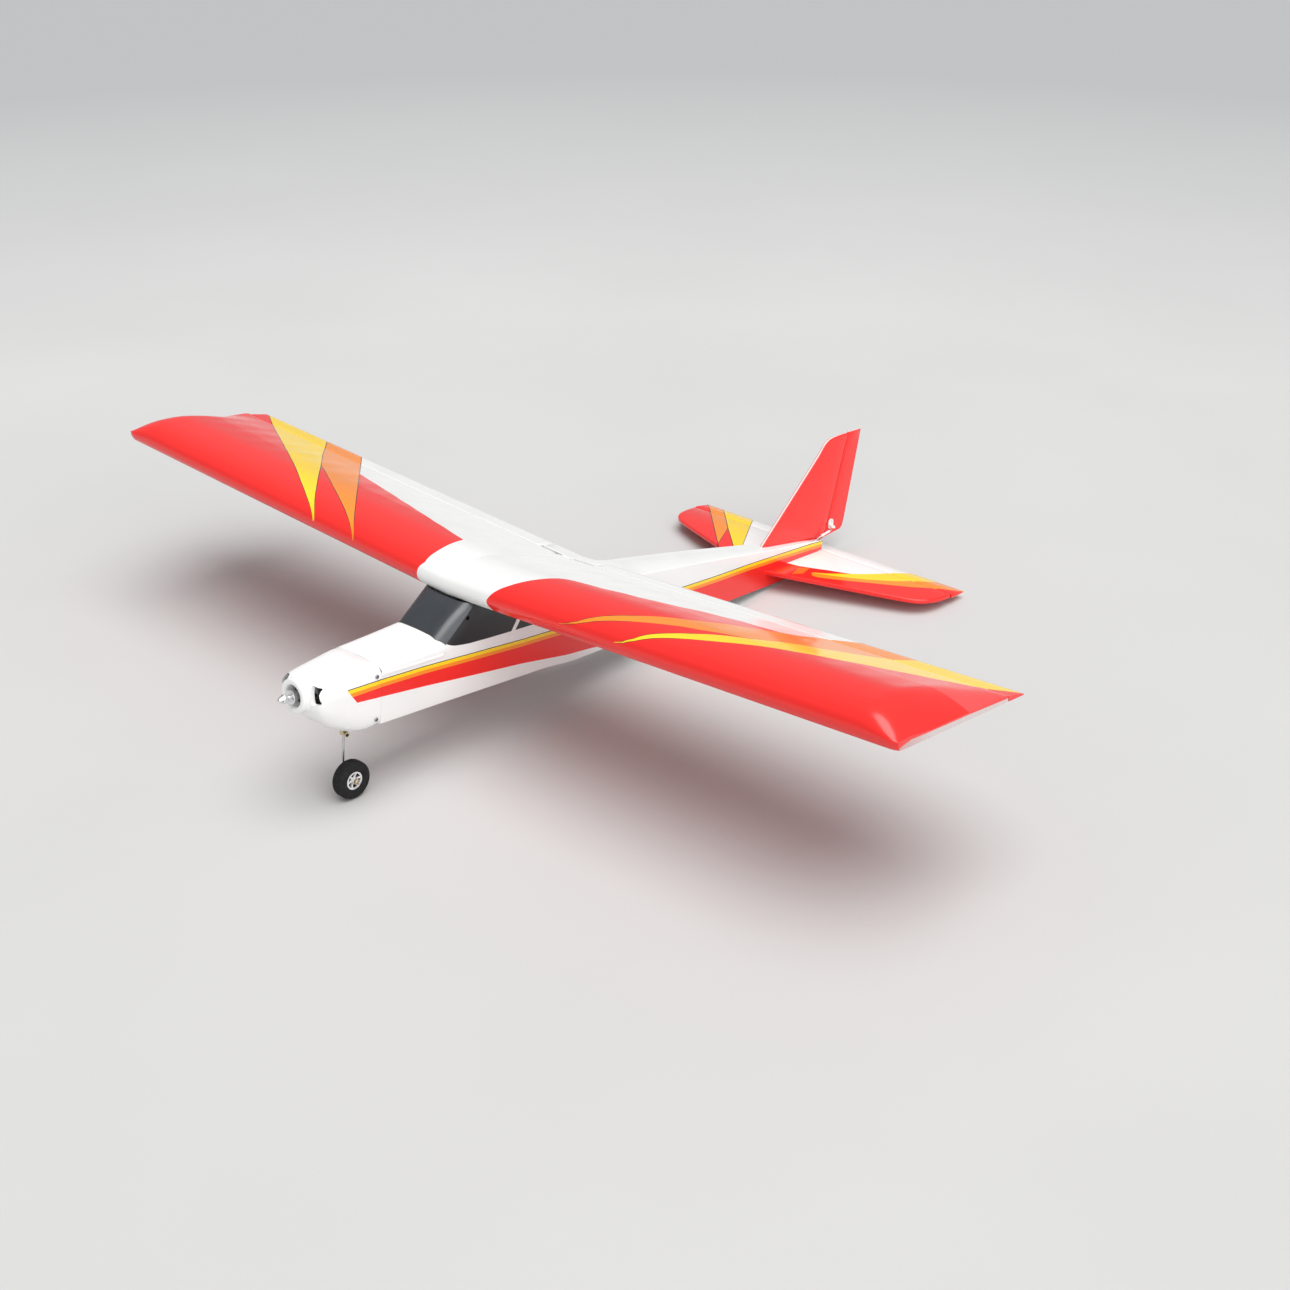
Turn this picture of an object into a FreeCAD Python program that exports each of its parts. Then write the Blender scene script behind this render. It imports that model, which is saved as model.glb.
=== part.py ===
import FreeCAD, Part
import os, math
import Sketcher

# Radio-controlled high-wing trainer aeroplane, 1.55 m span.
# Working frame of the airframe: +X to the aeroplane's left (port), -Y to the nose,
# +Z up, y = 0 and z = 0 at the lower leading edge of the wing at the centre line.
# The whole assembly is then pitched nose-up and lifted, so that it stands on the
# nose wheel and on the lower rear edge of the fuselage, as it does without its
# main undercarriage.

V = FreeCAD.Vector
doc = FreeCAD.newDocument("trainer_aeroplane")
sheet = doc.addObject("Spreadsheet::Sheet", "Dims")
rows = [0]


class Dim:
    """A number that remembers the spreadsheet expression it came from."""

    def __init__(self, v, e):
        self.v, self.e = float(v), e

    @staticmethod
    def of(o):
        if isinstance(o, Dim):
            return o
        return Dim(o, ("(%.6f)" if o < 0 else "%.6f") % o)

    def __add__(self, o):
        o = Dim.of(o)
        return Dim(self.v + o.v, "(%s + %s)" % (self.e, o.e))

    __radd__ = __add__

    def __sub__(self, o):
        o = Dim.of(o)
        return Dim(self.v - o.v, "(%s - %s)" % (self.e, o.e))

    def __rsub__(self, o):
        return Dim.of(o).__sub__(self)

    def __mul__(self, o):
        o = Dim.of(o)
        return Dim(self.v * o.v, "(%s * %s)" % (self.e, o.e))

    __rmul__ = __mul__

    def __truediv__(self, o):
        o = Dim.of(o)
        return Dim(self.v / o.v, "(%s / %s)" % (self.e, o.e))

    def __neg__(self):
        return Dim(-self.v, "(0 - %s)" % self.e)


def num(o):
    return o.v if isinstance(o, Dim) else float(o)


def dim(name, value):
    rows[0] += 1
    r = rows[0]
    sheet.set("A%d" % r, name)
    sheet.set("B%d" % r, "%s" % value)
    sheet.setAlias("B%d" % r, name)
    return Dim(value, "Dims.%s" % name)


# ---------------------------------------------------------------- dimensions
half_span = dim("half_span", 775)
chord = dim("wing_chord", 278)
w_thick = dim("wing_thickness", 45)
dihedral = dim("dihedral_slope", 0.052)
incid = dim("incidence_slope", 0.0097)
skin = dim("wing_skin", 1.5)
tip_x = dim("tip_start", 737)
hinge_y = dim("aileron_hinge_y", 241)
ail_in = dim("aileron_inner", 57)
hwid = dim("fuselage_half_width", 50)
wall = dim("side_thickness", 3)
sheet_t = dim("deck_thickness", 2.5)
fw_y = dim("firewall_y", -158)
belly = dim("belly_z", -138)
rear_z = dim("rear_belly_z", -144)
tail_end = dim("tail_end_y", 886)
stab_z = dim("stab_z", -117)
stab_t = dim("stab_thickness", 8)
fin_t = dim("fin_thickness", 7)
elev_y = dim("elevator_hinge_y", 887)
thrust_z = dim("thrust_line_z", -83)
nose_y = dim("nose_leg_y", -185.5)
axle_z = dim("nose_axle_z", -226)
wheel_r = dim("wheel_radius", 28)
wheel_x = dim("wheel_offset", 18)
wire_r = dim("wire_radius", 2)
motor_r = dim("motor_radius", 21)
dowel_r = dim("dowel_hole_radius", 3)
gear_r = dim("gear_wire_hole_radius", 2.1)
pitch_up = dim("pitch_up_deg", 6.49)
asm_y = dim("assembly_y", -337.43)
asm_z = dim("assembly_z", 231.58)
doc.recompute()

PITCH = FreeCAD.Rotation(V(1, 0, 0), -pitch_up.v)
SHIFT = V(0, asm_y.v, asm_z.v)
ASM = FreeCAD.Placement(SHIFT, PITCH)
DIH = dihedral.v
DIRP = V(1, 0, DIH)
DIRS = V(-1, 0, DIH)

nodes = []


def final(obj, label, local=None):
    obj.Label = label
    p = local if local is not None else FreeCAD.Placement()
    if obj.TypeId in ("Part::Box", "Part::Cylinder"):
        obj = fuse(obj, obj)
        obj.Label = label
    obj.Placement = ASM.multiply(p)
    nodes.append((label, obj))
    return obj


def at(x, y, z, axis=None, deg=0):
    r = FreeCAD.Rotation(V(*axis), deg) if axis else FreeCAD.Rotation()
    return FreeCAD.Placement(V(num(x), num(y), num(z)), r)


def setp(obj, prop, val):
    setattr(obj, prop, num(val))
    if isinstance(val, Dim):
        obj.setExpression(prop, val.e)


# ------------------------------------------------------------ PartDesign kit
def new_body(name):
    return doc.addObject("PartDesign::Body", name + "_body")


def origin_plane(body, role):
    for f in body.Origin.OriginFeatures:
        if f.Role == role:
            return f


def pin_point(sk, geo, pos, x, y):
    for kind, val, axis in (("DistanceX", x, -2), ("DistanceY", y, -1)):
        if not isinstance(val, Dim) and abs(val) < 1e-9:
            sk.addConstraint(Sketcher.Constraint("PointOnObject", geo, pos, axis))
            continue
        i = sk.addConstraint(Sketcher.Constraint(kind, -1, 1, geo, pos, num(val)))
        if isinstance(val, Dim):
            sk.setExpression("Constraints[%d]" % i, val.e)


def sketch(body, role, loops, off=None):
    sk = body.newObject("Sketcher::SketchObject", body.Name + "_sk")
    sk.AttachmentSupport = [(origin_plane(body, role), "")]
    sk.MapMode = "FlatFace"
    if off is not None:
        ox, oy, oz = off
        sk.AttachmentOffset = FreeCAD.Placement(V(num(ox), num(oy), num(oz)), FreeCAD.Rotation())
        for ax, val in (("x", ox), ("y", oy), ("z", oz)):
            if isinstance(val, Dim):
                sk.setExpression("AttachmentOffset.Base.%s" % ax, val.e)
    for loop in loops:
        if isinstance(loop[0], str):
            _, cx, cy, r = loop
            g = sk.addGeometry(Part.Circle(V(num(cx), num(cy), 0), V(0, 0, 1), num(r)), False)
            pin_point(sk, g, 3, cx, cy)
            i = sk.addConstraint(Sketcher.Constraint("Radius", g, num(r)))
            if isinstance(r, Dim):
                sk.setExpression("Constraints[%d]" % i, r.e)
            continue
        pts = [V(num(a), num(b), 0) for a, b in loop]
        n = len(pts)
        ids = [sk.addGeometry(Part.LineSegment(pts[i], pts[(i + 1) % n]), False) for i in range(n)]
        for i in range(n):
            sk.addConstraint(Sketcher.Constraint("Coincident", ids[i], 2, ids[(i + 1) % n], 1))
        for i in range(n):
            pin_point(sk, ids[i], 1, loop[i][0], loop[i][1])
    return sk


def pad(body, sk, length, mid=False, rev=False, vec=None):
    p = body.newObject("PartDesign::Pad", body.Name + "_pad")
    p.Profile = sk
    if vec is not None:
        p.UseCustomVector = True
        p.Direction = vec
        p.AlongSketchNormal = True
        rev = False
    p.Midplane = mid
    p.Reversed = rev
    setp(p, "Length", length)
    return p


def cut_all(body, sk):
    p = body.newObject("PartDesign::Pocket", body.Name + "_pocket")
    p.Profile = sk
    p.Type = "ThroughAll"
    p.Midplane = True
    return p


def pocket(body, sk, length, rev=False):
    p = body.newObject("PartDesign::Pocket", body.Name + "_pocket")
    p.Profile = sk
    setp(p, "Length", length)
    p.Reversed = rev
    return p


def revolve(body, sk, axis="H_Axis"):
    r = body.newObject("PartDesign::Revolution", body.Name + "_rev")
    r.Profile = sk
    r.ReferenceAxis = (sk, [axis])
    r.Angle = 360
    return r


def plate(label, role, loops, length, mid=False, rev=False, off=None, vec=None, local=None):
    b = new_body(label)
    pad(b, sketch(b, role, loops, off), length, mid, rev, vec)
    return final(b, label, local)


def rect(x0, y0, x1, y1):
    return [(x0, y0), (x1, y0), (x1, y1), (x0, y1)]


# ------------------------------------------------------------ Part kit
def box(x0, y0, z0, x1, y1, z1):
    b = doc.addObject("Part::Box", "box")
    setp(b, "Length", x1 - x0)
    setp(b, "Width", y1 - y0)
    setp(b, "Height", z1 - z0)
    b.Placement = at(x0, y0, z0)
    for ax, val in (("x", x0), ("y", y0), ("z", z0)):
        if isinstance(val, Dim):
            b.setExpression("Placement.Base.%s" % ax, val.e)
    return b


def cyl(p0, p1, r):
    """Cylinder from p0 to p1."""
    a, b = V(*[num(c) for c in p0]), V(*[num(c) for c in p1])
    c = doc.addObject("Part::Cylinder", "cyl")
    setp(c, "Radius", r)
    c.Height = (b - a).Length
    c.Placement = FreeCAD.Placement(a, FreeCAD.Rotation(V(0, 0, 1), b - a))
    return c


def cone(p0, p1, r0, r1):
    a, b = V(*[num(c) for c in p0]), V(*[num(c) for c in p1])
    c = doc.addObject("Part::Cone", "cone")
    setp(c, "Radius1", r0)
    setp(c, "Radius2", r1)
    c.Height = (b - a).Length
    c.Placement = FreeCAD.Placement(a, FreeCAD.Rotation(V(0, 0, 1), b - a))
    return c


def ball(p, r):
    s = doc.addObject("Part::Sphere", "ball")
    setp(s, "Radius", r)
    s.Placement = at(*p)
    return s


def fuse(*objs):
    if objs[0] is objs[-1]:
        f = doc.addObject("Part::Compound", "single")
        f.Links = [objs[0]]
        return f
    f = doc.addObject("Part::MultiFuse", "fuse")
    f.Shapes = list(objs)
    return f


def cut(a, b):
    c = doc.addObject("Part::Cut", "cut")
    c.Base, c.Tool = a, b
    return c


def wirepath(pts, r):
    """Bent wire: straight cylinders with balls at the bends."""
    parts = []
    for i in range(len(pts) - 1):
        parts.append(cyl(pts[i], pts[i + 1], r))
        if i:
            parts.append(ball(pts[i], r + 0.03))
    return parts


def loft(label, sections, ruled=True, cutters=(), inner=None, local=None, add=()):
    """Closed polygon sections joined to a solid; sheet values come from the lists."""
    def make(secs):
        ws = []
        for s in secs:
            pts = [V(*[num(c) for c in p]) for p in s]
            ws.append(Part.makePolygon(pts + [pts[0]]))
        return Part.makeLoft(ws, True, ruled)
    sh = make(sections)
    if inner:
        sh = sh.cut(make(inner))
    for c in add:
        sh = sh.fuse(c)
    for c in cutters:
        sh = sh.cut(c)
    if len(sh.Solids) == 1:
        sh = sh.Solids[0]
    f = doc.addObject("Part::Feature", label + "_shape")
    f.Shape = sh
    return final(f, label, local)


# ================================================================ fuselage
# Plan outline: parallel to y = 200, then two straight tapers to the tail.
def plan(dx):
    return [(hwid + dx, -170), (hwid + dx, 200), (26 + dx, 626), (10 + dx, 900)]


SIDE = [(fw_y, belly + sheet_t), (160, belly + sheet_t), (220, -139.5), (626, rear_z + sheet_t),
        (783, rear_z + sheet_t), (853.5, -121.3), (714.5, -121.3), (714.5, -112.7), (tail_end, -112.7),
        (tail_end, -97.5), (816, -89), (735, -81.8), (596, -64.5), (503, -54), (370, -40.5),
        (322, -29.5), (290, -10.5), (289.95, -8.3), (279, -0.9), (10.2, 1.83), (-42.9, -47.75), (-50, -62.3), (fw_y, -62.3)]


def side(label, s):
    b = new_body(label)
    pad(b, sketch(b, "YZ_Plane", [SIDE]), 60, rev=(s < 0))
    out = [(s * x, y) for x, y in plan(0)] + [(s * 90, 900), (s * 90, -170)]
    inn = [(s * x, y) for x, y in plan(-wall)] + [(s * -5, 900), (s * -5, -170)]
    cut_all(b, sketch(b, "XY_Plane", [out, inn]))
    # wing dowel holes, and the hole for the nose steering rod stays in the firewall
    cut_all(b, sketch(b, "YZ_Plane", [("c", -5.8, -18.8, dowel_r), ("c", 266, -17, dowel_r)]))
    return final(b, label)


side("fuselage_side_port", 1)
side("fuselage_side_starboard", -1)


def strip(label, line, t, cuts=()):
    """Sheet that follows a side-view line; t is its thickness, up positive."""
    b = new_body(label)
    loop = list(line) + [(y, z + t) for y, z in reversed(line)]
    pad(b, sketch(b, "YZ_Plane", [loop]), 120, mid=True)
    loops = []
    for s in (1, -1):
        loops.append([(s * x, y) for x, y in plan(0)] + [(s * 90, 900), (s * 90, -170)])
    cut_all(b, sketch(b, "XY_Plane", loops))
    if cuts:
        cut_all(b, sketch(b, "XY_Plane", cuts))
    return final(b, label)


strip("fuselage_bottom", [(fw_y, belly), (160, belly), (220, -142), (626, rear_z), (783, rear_z), (854.4, -123.57)], sheet_t,
      cuts=[rect(-43, 145.7, 43, 162.3), rect(-16, 812, -8, 866)])
strip("rear_top_deck", [(290, -8), (322, -27), (370, -38), (503, -51.5), (596, -62), (735, -79.3), (816, -86.5),
                        (tail_end, -95)], -sheet_t, cuts=[rect(4.2, 848, 9.4, 884), rect(-3.6, 722, 3.6, 887)])

INW = hwid - wall - 0.05
plate("firewall", "XZ_Plane", [rect(-INW, -135.4, INW, -62.5), ("c", 0, thrust_z, 9), ("c", 20, -106, 3),
                               ("c", -30, -83, 5)], 6, off=(0, 0, -(fw_y + 6)))
plate("former_front", "XZ_Plane", [rect(-INW, -135.4, INW, -24), rect(-34, -107, 34, -40), rect(10, -130, 36, -112)], 3, off=(0, 0, 16))
plate("former_rear", "XZ_Plane", [rect(-41.6, -138.2, 41.6, -12.5), rect(-32, -125, 32, -30)], 3, off=(0, 0, -292))
fm = []
for nm, y, w, z0, z1 in (("tail_former_a", 450, 32.4, -140.2, -51.6), ("tail_former_b", 620, 22.7, -141.2, -68.6)):
    b = new_body(nm)
    pad(b, sketch(b, "XZ_Plane", [rect(-w, z0, w, z1), rect(-w * 0.75, z0 + 8, w * 0.75, z1 - 8)], (0, 0, -y - 3)), 3)
    fm.append(b)
final(fuse(*fm), "tail_formers")
b1 = new_body("battery_tray")
pad(b1, sketch(b1, "XY_Plane", [rect(-INW, -151.9, INW, -19.1)], (0, 0, -111.5)), 3)
b2 = new_body("servo_tray")
pad(b2, sketch(b2, "XY_Plane", [rect(-INW, 96, INW, 190), rect(10.2, 118, 31.2, 160), rect(-31.2, 118, -10.2, 160)], (0, 0, -78)), 3)
final(fuse(b1, b2), "equipment_trays")

# nose block for the wheel leg, belly block for the main undercarriage wire
b = new_body("main_gear_block")
pad(b, sketch(b, "XY_Plane", [rect(-42.7, 146, 42.7, 162), ("c", -32, 154, gear_r), ("c", 32, 154, gear_r)],
              (0, 0, belly)), 15)
final(b, "main_gear_block")

# ---------------------------------------------------------------- canopy, hatch, cowl
# Black windscreen: a bent sheet, flat in front, with a folded return to each side.
def screen(d):
    return [[(-50 + d, -44.4 + d, -47.6), (-38.2 + d * .6, -59.4 + 1.25 * d, -41), (38.2 - d * .6, -59.4 + 1.25 * d, -41), (50 - d, -44.4 + d, -47.6)],
            [(-50 + d, 8 + d, 1.2), (-40.2 + d * .6, -6.2 + 1.25 * d, 1.2), (40.2 - d * .6, -6.2 + 1.25 * d, 1.2), (50 - d, 8 + d, 1.2)]]


def windscreen():
    """One closed shell of triangles round the bent sheet."""
    o, i = screen(0), screen(1.3)
    tris = []

    def quad(a, b_, c, d):
        tris.append((a, b_, c))
        tris.append((a, c, d))
    for k in range(3):
        quad(o[0][k], o[0][k + 1], o[1][k + 1], o[1][k])
        quad(i[0][k], i[1][k], i[1][k + 1], i[0][k + 1])
        quad(o[0][k], i[0][k], i[0][k + 1], o[0][k + 1])
        quad(o[1][k], o[1][k + 1], i[1][k + 1], i[1][k])
    quad(o[0][0], o[1][0], i[1][0], i[0][0])
    quad(o[0][3], i[0][3], i[1][3], o[1][3])
    faces = []
    for t in tris:
        p = [V(*q) for q in t]
        faces.append(Part.Face(Part.makePolygon(p + [p[0]])))
    shell = Part.Shell(faces)
    sh = Part.Solid(shell)
    if sh.Volume < 0:
        sh.reverse()
    f = doc.addObject("Part::Feature", "windscreen_shape")
    f.Shape = sh
    return final(f, "windscreen")


windscreen()


def deck_sec(y, top, d, edge=-61.9, w=None):
    """One arched cross-section of the battery hatch, thickness offset d."""
    h = (num(hwid) if w is None else w) - d
    t = top - d
    r = min(26.0, (t - edge) * 0.8)
    pts = [(-h, y, edge)]
    for k in range(7):
        a = math.pi - k * math.pi / 12
        pts.append((-h + r + r * math.cos(a), y, t - r + r * math.sin(a)))
    pts += [(-p[0], p[1], p[2]) for p in reversed(pts)]
    return pts


HATCH = [(-161.2, -51.5), (-130, -46.5), (-95, -41.5), (-61.2, -36.8)]
o_sec = [deck_sec(y, t, 0) for y, t in HATCH]
i_sec = [deck_sec(y, t, 1.6, edge=-63) for y, t in ((-162, -51.6), (-130, -46.5), (-95, -41.5), (-60, -36.7))]
loft("battery_hatch", o_sec, inner=i_sec)


def ring(y, cz, rx, rz, n, power=2.6, d=0.0, drop=0.0):
    pts = []
    for k in range(n):
        a = 2 * math.pi * k / n
        c, s_ = math.cos(a), math.sin(a)
        ax = math.copysign(abs(c) ** (2 / power), c) * (rx - d)
        az = math.copysign(abs(s_) ** (2 / power), s_) * (rz - d)
        pts.append((ax, y, cz + az))
    return pts


COWL = [(-162.6, -96.8, 50, 44.8, 6.5), (-182, -98.8, 49.4, 50, 4.5), (-206, -98, 48.4, 47.5, 3.6), (-232, -94, 46.8, 40, 3.2),
        (-250, -88.5, 44.5, 30.5, 3.0), (-262, -83, 40, 20, 2.8)]
o_sec = [ring(y, cz, rx, rz, 32, pw) for y, cz, rx, rz, pw in COWL]
i_sec = [ring(y + (4 if y < -255 else (1 if y > -170 else 0)), cz, rx, rz, 32, pw, 1.8) for y, cz, rx, rz, pw in COWL]
cuts = [Part.makeCylinder(15, 40, V(0, -285, num(thrust_z)), V(0, 1, 0)),
        Part.makeBox(13, 24, 17, V(28, -270, -85.5)), Part.makeBox(13, 24, 17, V(-41, -270, -85.5)),
        Part.makeBox(16, 40, 40, V(-8, -206, -160))]
loft("cowl", o_sec, inner=i_sec, cutters=cuts, add=[Part.makeCylinder(25, 14.5, V(0, -274.7, num(thrust_z)), V(0, 1, 0))])

scr = []
for s in (1, -1):
    for z in (-65, -128.7):
        scr.append(cyl((s * 50.05, -170, z), (s * 51.4, -170, z), 3))
final(fuse(*scr), "cowl_screws")

# ---------------------------------------------------------------- power train
TZ = num(thrust_z)
b = new_body("motor_mount")
pad(b, sketch(b, "XZ_Plane", [rect(-20.5, TZ - 20.5, 20.5, TZ + 20.5), ("c", 0, TZ, 5), ("c", 0, TZ - 14, 3.5), ("c", 0, TZ + 14, 3.5),
                              ("c", 14, TZ, 3.5), ("c", -14, TZ, 3.5)], (0, 0, 205)), 3)
for sx, sz in ((1, 1), (1, -1), (-1, 1), (-1, -1)):
    pad(b, sketch(b, "XZ_Plane", [("c", sx * 16.6, TZ + sz * 16.6, 3)], (0, 0, 158.1)), 47.4)
final(b, "motor_mount")
final(fuse(cyl((0, -208.2, TZ), (0, -213.2, TZ), 16), cyl((0, -213.2, TZ), (0, -238, TZ), 17.5)), "motor_stator_core")
final(cut(fuse(cyl((0, -214.2, TZ), (0, -246, TZ), motor_r), cyl((0, -246, TZ), (0, -250, TZ), 12)),
          cyl((0, -213, TZ), (0, -241, TZ), 18.4)), "motor_can")
final(fuse(cone((0, -250.1, TZ), (0, -268, TZ), 7.5, 7), cyl((0, -268, TZ), (0, -276.4, TZ), 7), cyl((0, -276, TZ), (0, -289, TZ), 3)), "prop_adapter")
final(cut(cyl((0, -276.5, TZ), (0, -279.3, TZ), 10.5), cyl((0, -276, TZ), (0, -280, TZ), 3.02)), "drive_washer")
final(cut(fuse(cyl((0, -285.5, TZ), (0, -291, TZ), 6.3), cone((0, -291, TZ), (0, -298.3, TZ), 4.6, 1.2)),
          cyl((0, -285, TZ), (0, -289.1, TZ), 3.02)), "prop_nut")
final(box(-24, -146, -132, 10, -82, -120), "speed_controller")
final(box(-22, -127, -108.4, 22, -19.2, -80), "battery_pack")
final(box(-20, 24, -135, 14, 74, -119), "receiver")

# ---------------------------------------------------------------- servos
def servo(label, x, y, z, up=1, deep=26):
    """Servo; z is the level of the mounting lugs' seat, up is the side of the arm, deep the case beyond the lugs."""
    k = up
    lo = lambda a, c: (min(z + k * a, z + k * c), max(z + k * a, z + k * c))
    z0, z1 = lo(-deep, 9)
    parts = [box(x - 10, y - 20, z0, x + 10, y + 20, z1)]
    z0, z1 = lo(0.1, 2.6)
    parts.append(box(x - 9.5, y - 27, z0, x + 9.5, y + 27, z1))
    parts.append(cyl((x, y - 10, z + k * 9), (x, y - 10, z + k * 12.5), 5))
    return final(fuse(*parts), label)


def arm(label, x, y, z, ends, up=1):
    parts = [cyl((x, y, z), (x, y, z + up * 3), 4)]
    for e in ends:
        parts.append(box(min(x, x + e), y - 2.2, min(z, z + up * 2), max(x, x + e), y + 2.2, max(z, z + up * 2)))
    return final(fuse(*parts), label)


servo("rudder_servo", 20.7, 139, -75)
servo("elevator_servo", -20.7, 139, -75)
arm("rudder_servo_arm", 20.7, 129, -62.1, (15, -15))
arm("elevator_servo_arm", -20.7, 129, -62.1, (15,))

# rods: wires with a gap at each end, so that they slide with the servo arm
final(fuse(*wirepath([(6, 131, -58.6), (6, 150, -58.6), (8, 300, -90), (5.5, 846, -101), (5.6, 860, -99.5), (6.6, 880, -89.4), (15.6, 902.6, -77.6)], 1.0)), "rudder_pushrod")
final(fuse(*wirepath([(-6, 131, -58.6), (-6, 150, -58.6), (-10, 300, -96), (-9.3, 780, -126.6), (-9.3, 884, -126.6)], 1.0)), "elevator_pushrod")
final(fuse(*wirepath([(34, 128, -58.6), (34, 92, -58.6), (31, 60, -98), (31, -17, -100), (30, -125, -104), (20, -143, -106), (20, -183.5, -106)], 1.0)), "steering_pushrod")

# ---------------------------------------------------------------- nose leg
NY, AZ = num(nose_y), num(axle_z)
final(cut(fuse(box(-13, -191.5, -138, 13, -180, -114), box(-16, -180.2, -134, 16, -158.1, -118)),
          cyl((0, NY, -140), (0, NY, -112), 2.05)), "nose_leg_bracket")
final(fuse(*wirepath([(0, NY, -106), (0, NY, AZ + 3.0), (1.2, NY, AZ + 0.9), (3.4, NY, AZ), (36, NY, AZ)], wire_r)), "nose_leg_wire")
final(fuse(cut(cyl((0, NY, -104), (0, NY, -109.5), 5), cyl((0, NY, -103), (0, NY, -110), 2.0)),
           cut(box(3, NY - 3, -109, 24, NY + 3, -107.2), cyl((20, NY, -110), (20, NY, -106), 1.2))), "steering_arm")
final(fuse(cut(cyl((0, NY, -143.2), (0, NY, -138.6), 4.6), cyl((0, NY, -145), (0, NY, -138), 2.0)),
           cut(cyl((0, NY, -157.5), (0, NY, -151.8), 4.6), cyl((0, NY, -158), (0, NY, -151), 2.0)),
           cut(fuse(cyl((28.0, NY, AZ), (33, NY, AZ), 4.2), cyl((30.5, NY, AZ + 3), (30.5, NY, AZ + 5.6), 1.4)),
               cyl((27, NY, AZ), (34, NY, AZ), 2.0))), "leg_collars")
b = new_body("wheel_hub")
sk = sketch(b, "XY_Plane", [[(-9.5, 2.06), (9.5, 2.06), (9.5, 4.6), (7.5, 5.2), (3, 5.2), (3, 10.6), (8, 10.6), (8, 13.4),
                             (-8, 13.4), (-8, 10.6), (-1, 10.6), (-1, 5.2), (-7.5, 5.2), (-9.5, 4.6)]])
revolve(b, sk)
final(b, "wheel_hub", at(wheel_x, nose_y, axle_z))
b = new_body("tyre")
R = wheel_r
sk = sketch(b, "XY_Plane", [[(-8, 13.45), (8, 13.45), (10, 16), (10.8, 19), (10.4, R - 5), (8, R - 1.6), (5, R), (-5, R), (-8, R - 1.6),
                             (-10.4, R - 5), (-10.8, 19), (-10, 16)]])
revolve(b, sk)
final(b, "tyre", at(wheel_x, nose_y, axle_z))
# ---------------------------------------------------------------- tail
STAB = [(0, 716), (20, 716), (238, 799), (262, 811), (276, 828), (283, 852), (284.5, 885.2)]
stab_loop = STAB + [(-x, y) for x, y in reversed(STAB[1:])]
plate("stabiliser", "XY_Plane", [stab_loop], stab_t, off=(0, 0, stab_z - stab_t / 2))


def vee(y0, y1, t0, t1, bev=2.5, nose=1.0):
    """Side view of a control surface: bevelled hinge edge, tapering to its trailing edge."""
    return [(y0, 0), (y0 + nose + bev, t0), (y1, t1), (y1, -t1), (y0 + nose + bev, -t0)]


b = new_body("elevator")
pad(b, sketch(b, "YZ_Plane", [[(y, z + stab_z) for y, z in vee(885.9, 923, 4, 1.2)]]), 571, mid=True)
final(b, "elevator")

FT = fin_t
plate("fin", "YZ_Plane", [[(724, -78.2), (884.4, -95.2), (897.9, -95.2), (936.2, 91), (903, 89.5), (884, 86), (872, 78), (864, 66)]],
      FT, mid=True)
plate("rudder", "YZ_Plane", [[(900.9, -93.8), (948, -88), (955, -81), (976.6, 92.5), (939.3, 91.4)]], FT * 0.8, mid=True)
HNG = V(0, 938 - 905.8, 91 + 63.3).normalize()


def on_hinge(z):
    return 905.8 + (z + 63.3) * (32.2 / 154.3)


final(fuse(*([box(-0.35, on_hinge(z) - 12, z - 8, 0.35, on_hinge(z) - 1.6, z + 8) for z in (-70, 0, 68)]
             + [box(x - 9, 874, -117.35, x + 9, 885.6, -116.65) for x in (-230, -90, 90, 230)])), "tail_hinges")
# control horns
final(fuse(box(2.85, 908.5, -80, 5, 922, -62), box(4.9, 906, -74.2, 18.5, 911, -72.2), box(13.5, 901, -74.2, 18.5, 911, -72.2)), "rudder_horn")
final(fuse(box(-17, 889.8, -123.2, -7, 904, -121.05), box(-13, 884.5, -129, -11, 893.5, -123.1)), "elevator_horn")

# ================================================================ wing
# Flat-bottomed section, as fractions of the chord and of the thickness.
FOIL = [(0.0, 0.0), (-0.012, 0.10), (-0.0185, 0.22), (-0.0185, 0.36), (-0.011, 0.53), (0.006, 0.68), (0.026, 0.79), (0.055, 0.88),
        (0.095, 0.95), (0.145, 0.985), (0.205, 1.0), (0.275, 0.975), (0.38, 0.88), (0.49, 0.745), (0.61, 0.575), (0.74, 0.37), (0.86, 0.195)]


def foil_z(y):
    """Height of the upper surface above the flat bottom at station y."""
    c, t = num(chord), num(w_thick)
    f = [(a * c, b_ * t) for a, b_ in FOIL] + [(c, 1.2)]
    for i in range(5, len(f) - 1):
        if f[i][0] <= y <= f[i + 1][0]:
            k = (y - f[i][0]) / (f[i + 1][0] - f[i][0])
            return f[i][1] + k * (f[i + 1][1] - f[i][1])
    return 0.0


def sec(pts):
    """Give section points the wing's incidence."""
    return [(y, z - incid * y) for y, z in pts]


te = 239.4
outer = [(chord * a, w_thick * b_) for a, b_ in FOIL if a * 278 < te] + [(te, foil_z(te)), (te, 0.0)]
inner = [(chord * a + (3.2 if a < 0.03 else 0), w_thick * b_ - skin - (1.0 if b_ < 0.9 and a < 0.1 else 0)) for a, b_ in FOIL if 0.3 < b_ and a < 0.8]
inner = [(9, skin)] + [(1.2, 4.5), (-0.5, 11)] + inner[0:] + [(228, foil_z(228) - 1.6), (228, skin)]


def bay(s, x0, x1, y0, y1):
    """Rectangle in plan between x0 and x1 on side s."""
    a, c = sorted((s * x0, s * x1))
    return rect(a, y0, c, y1)


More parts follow.
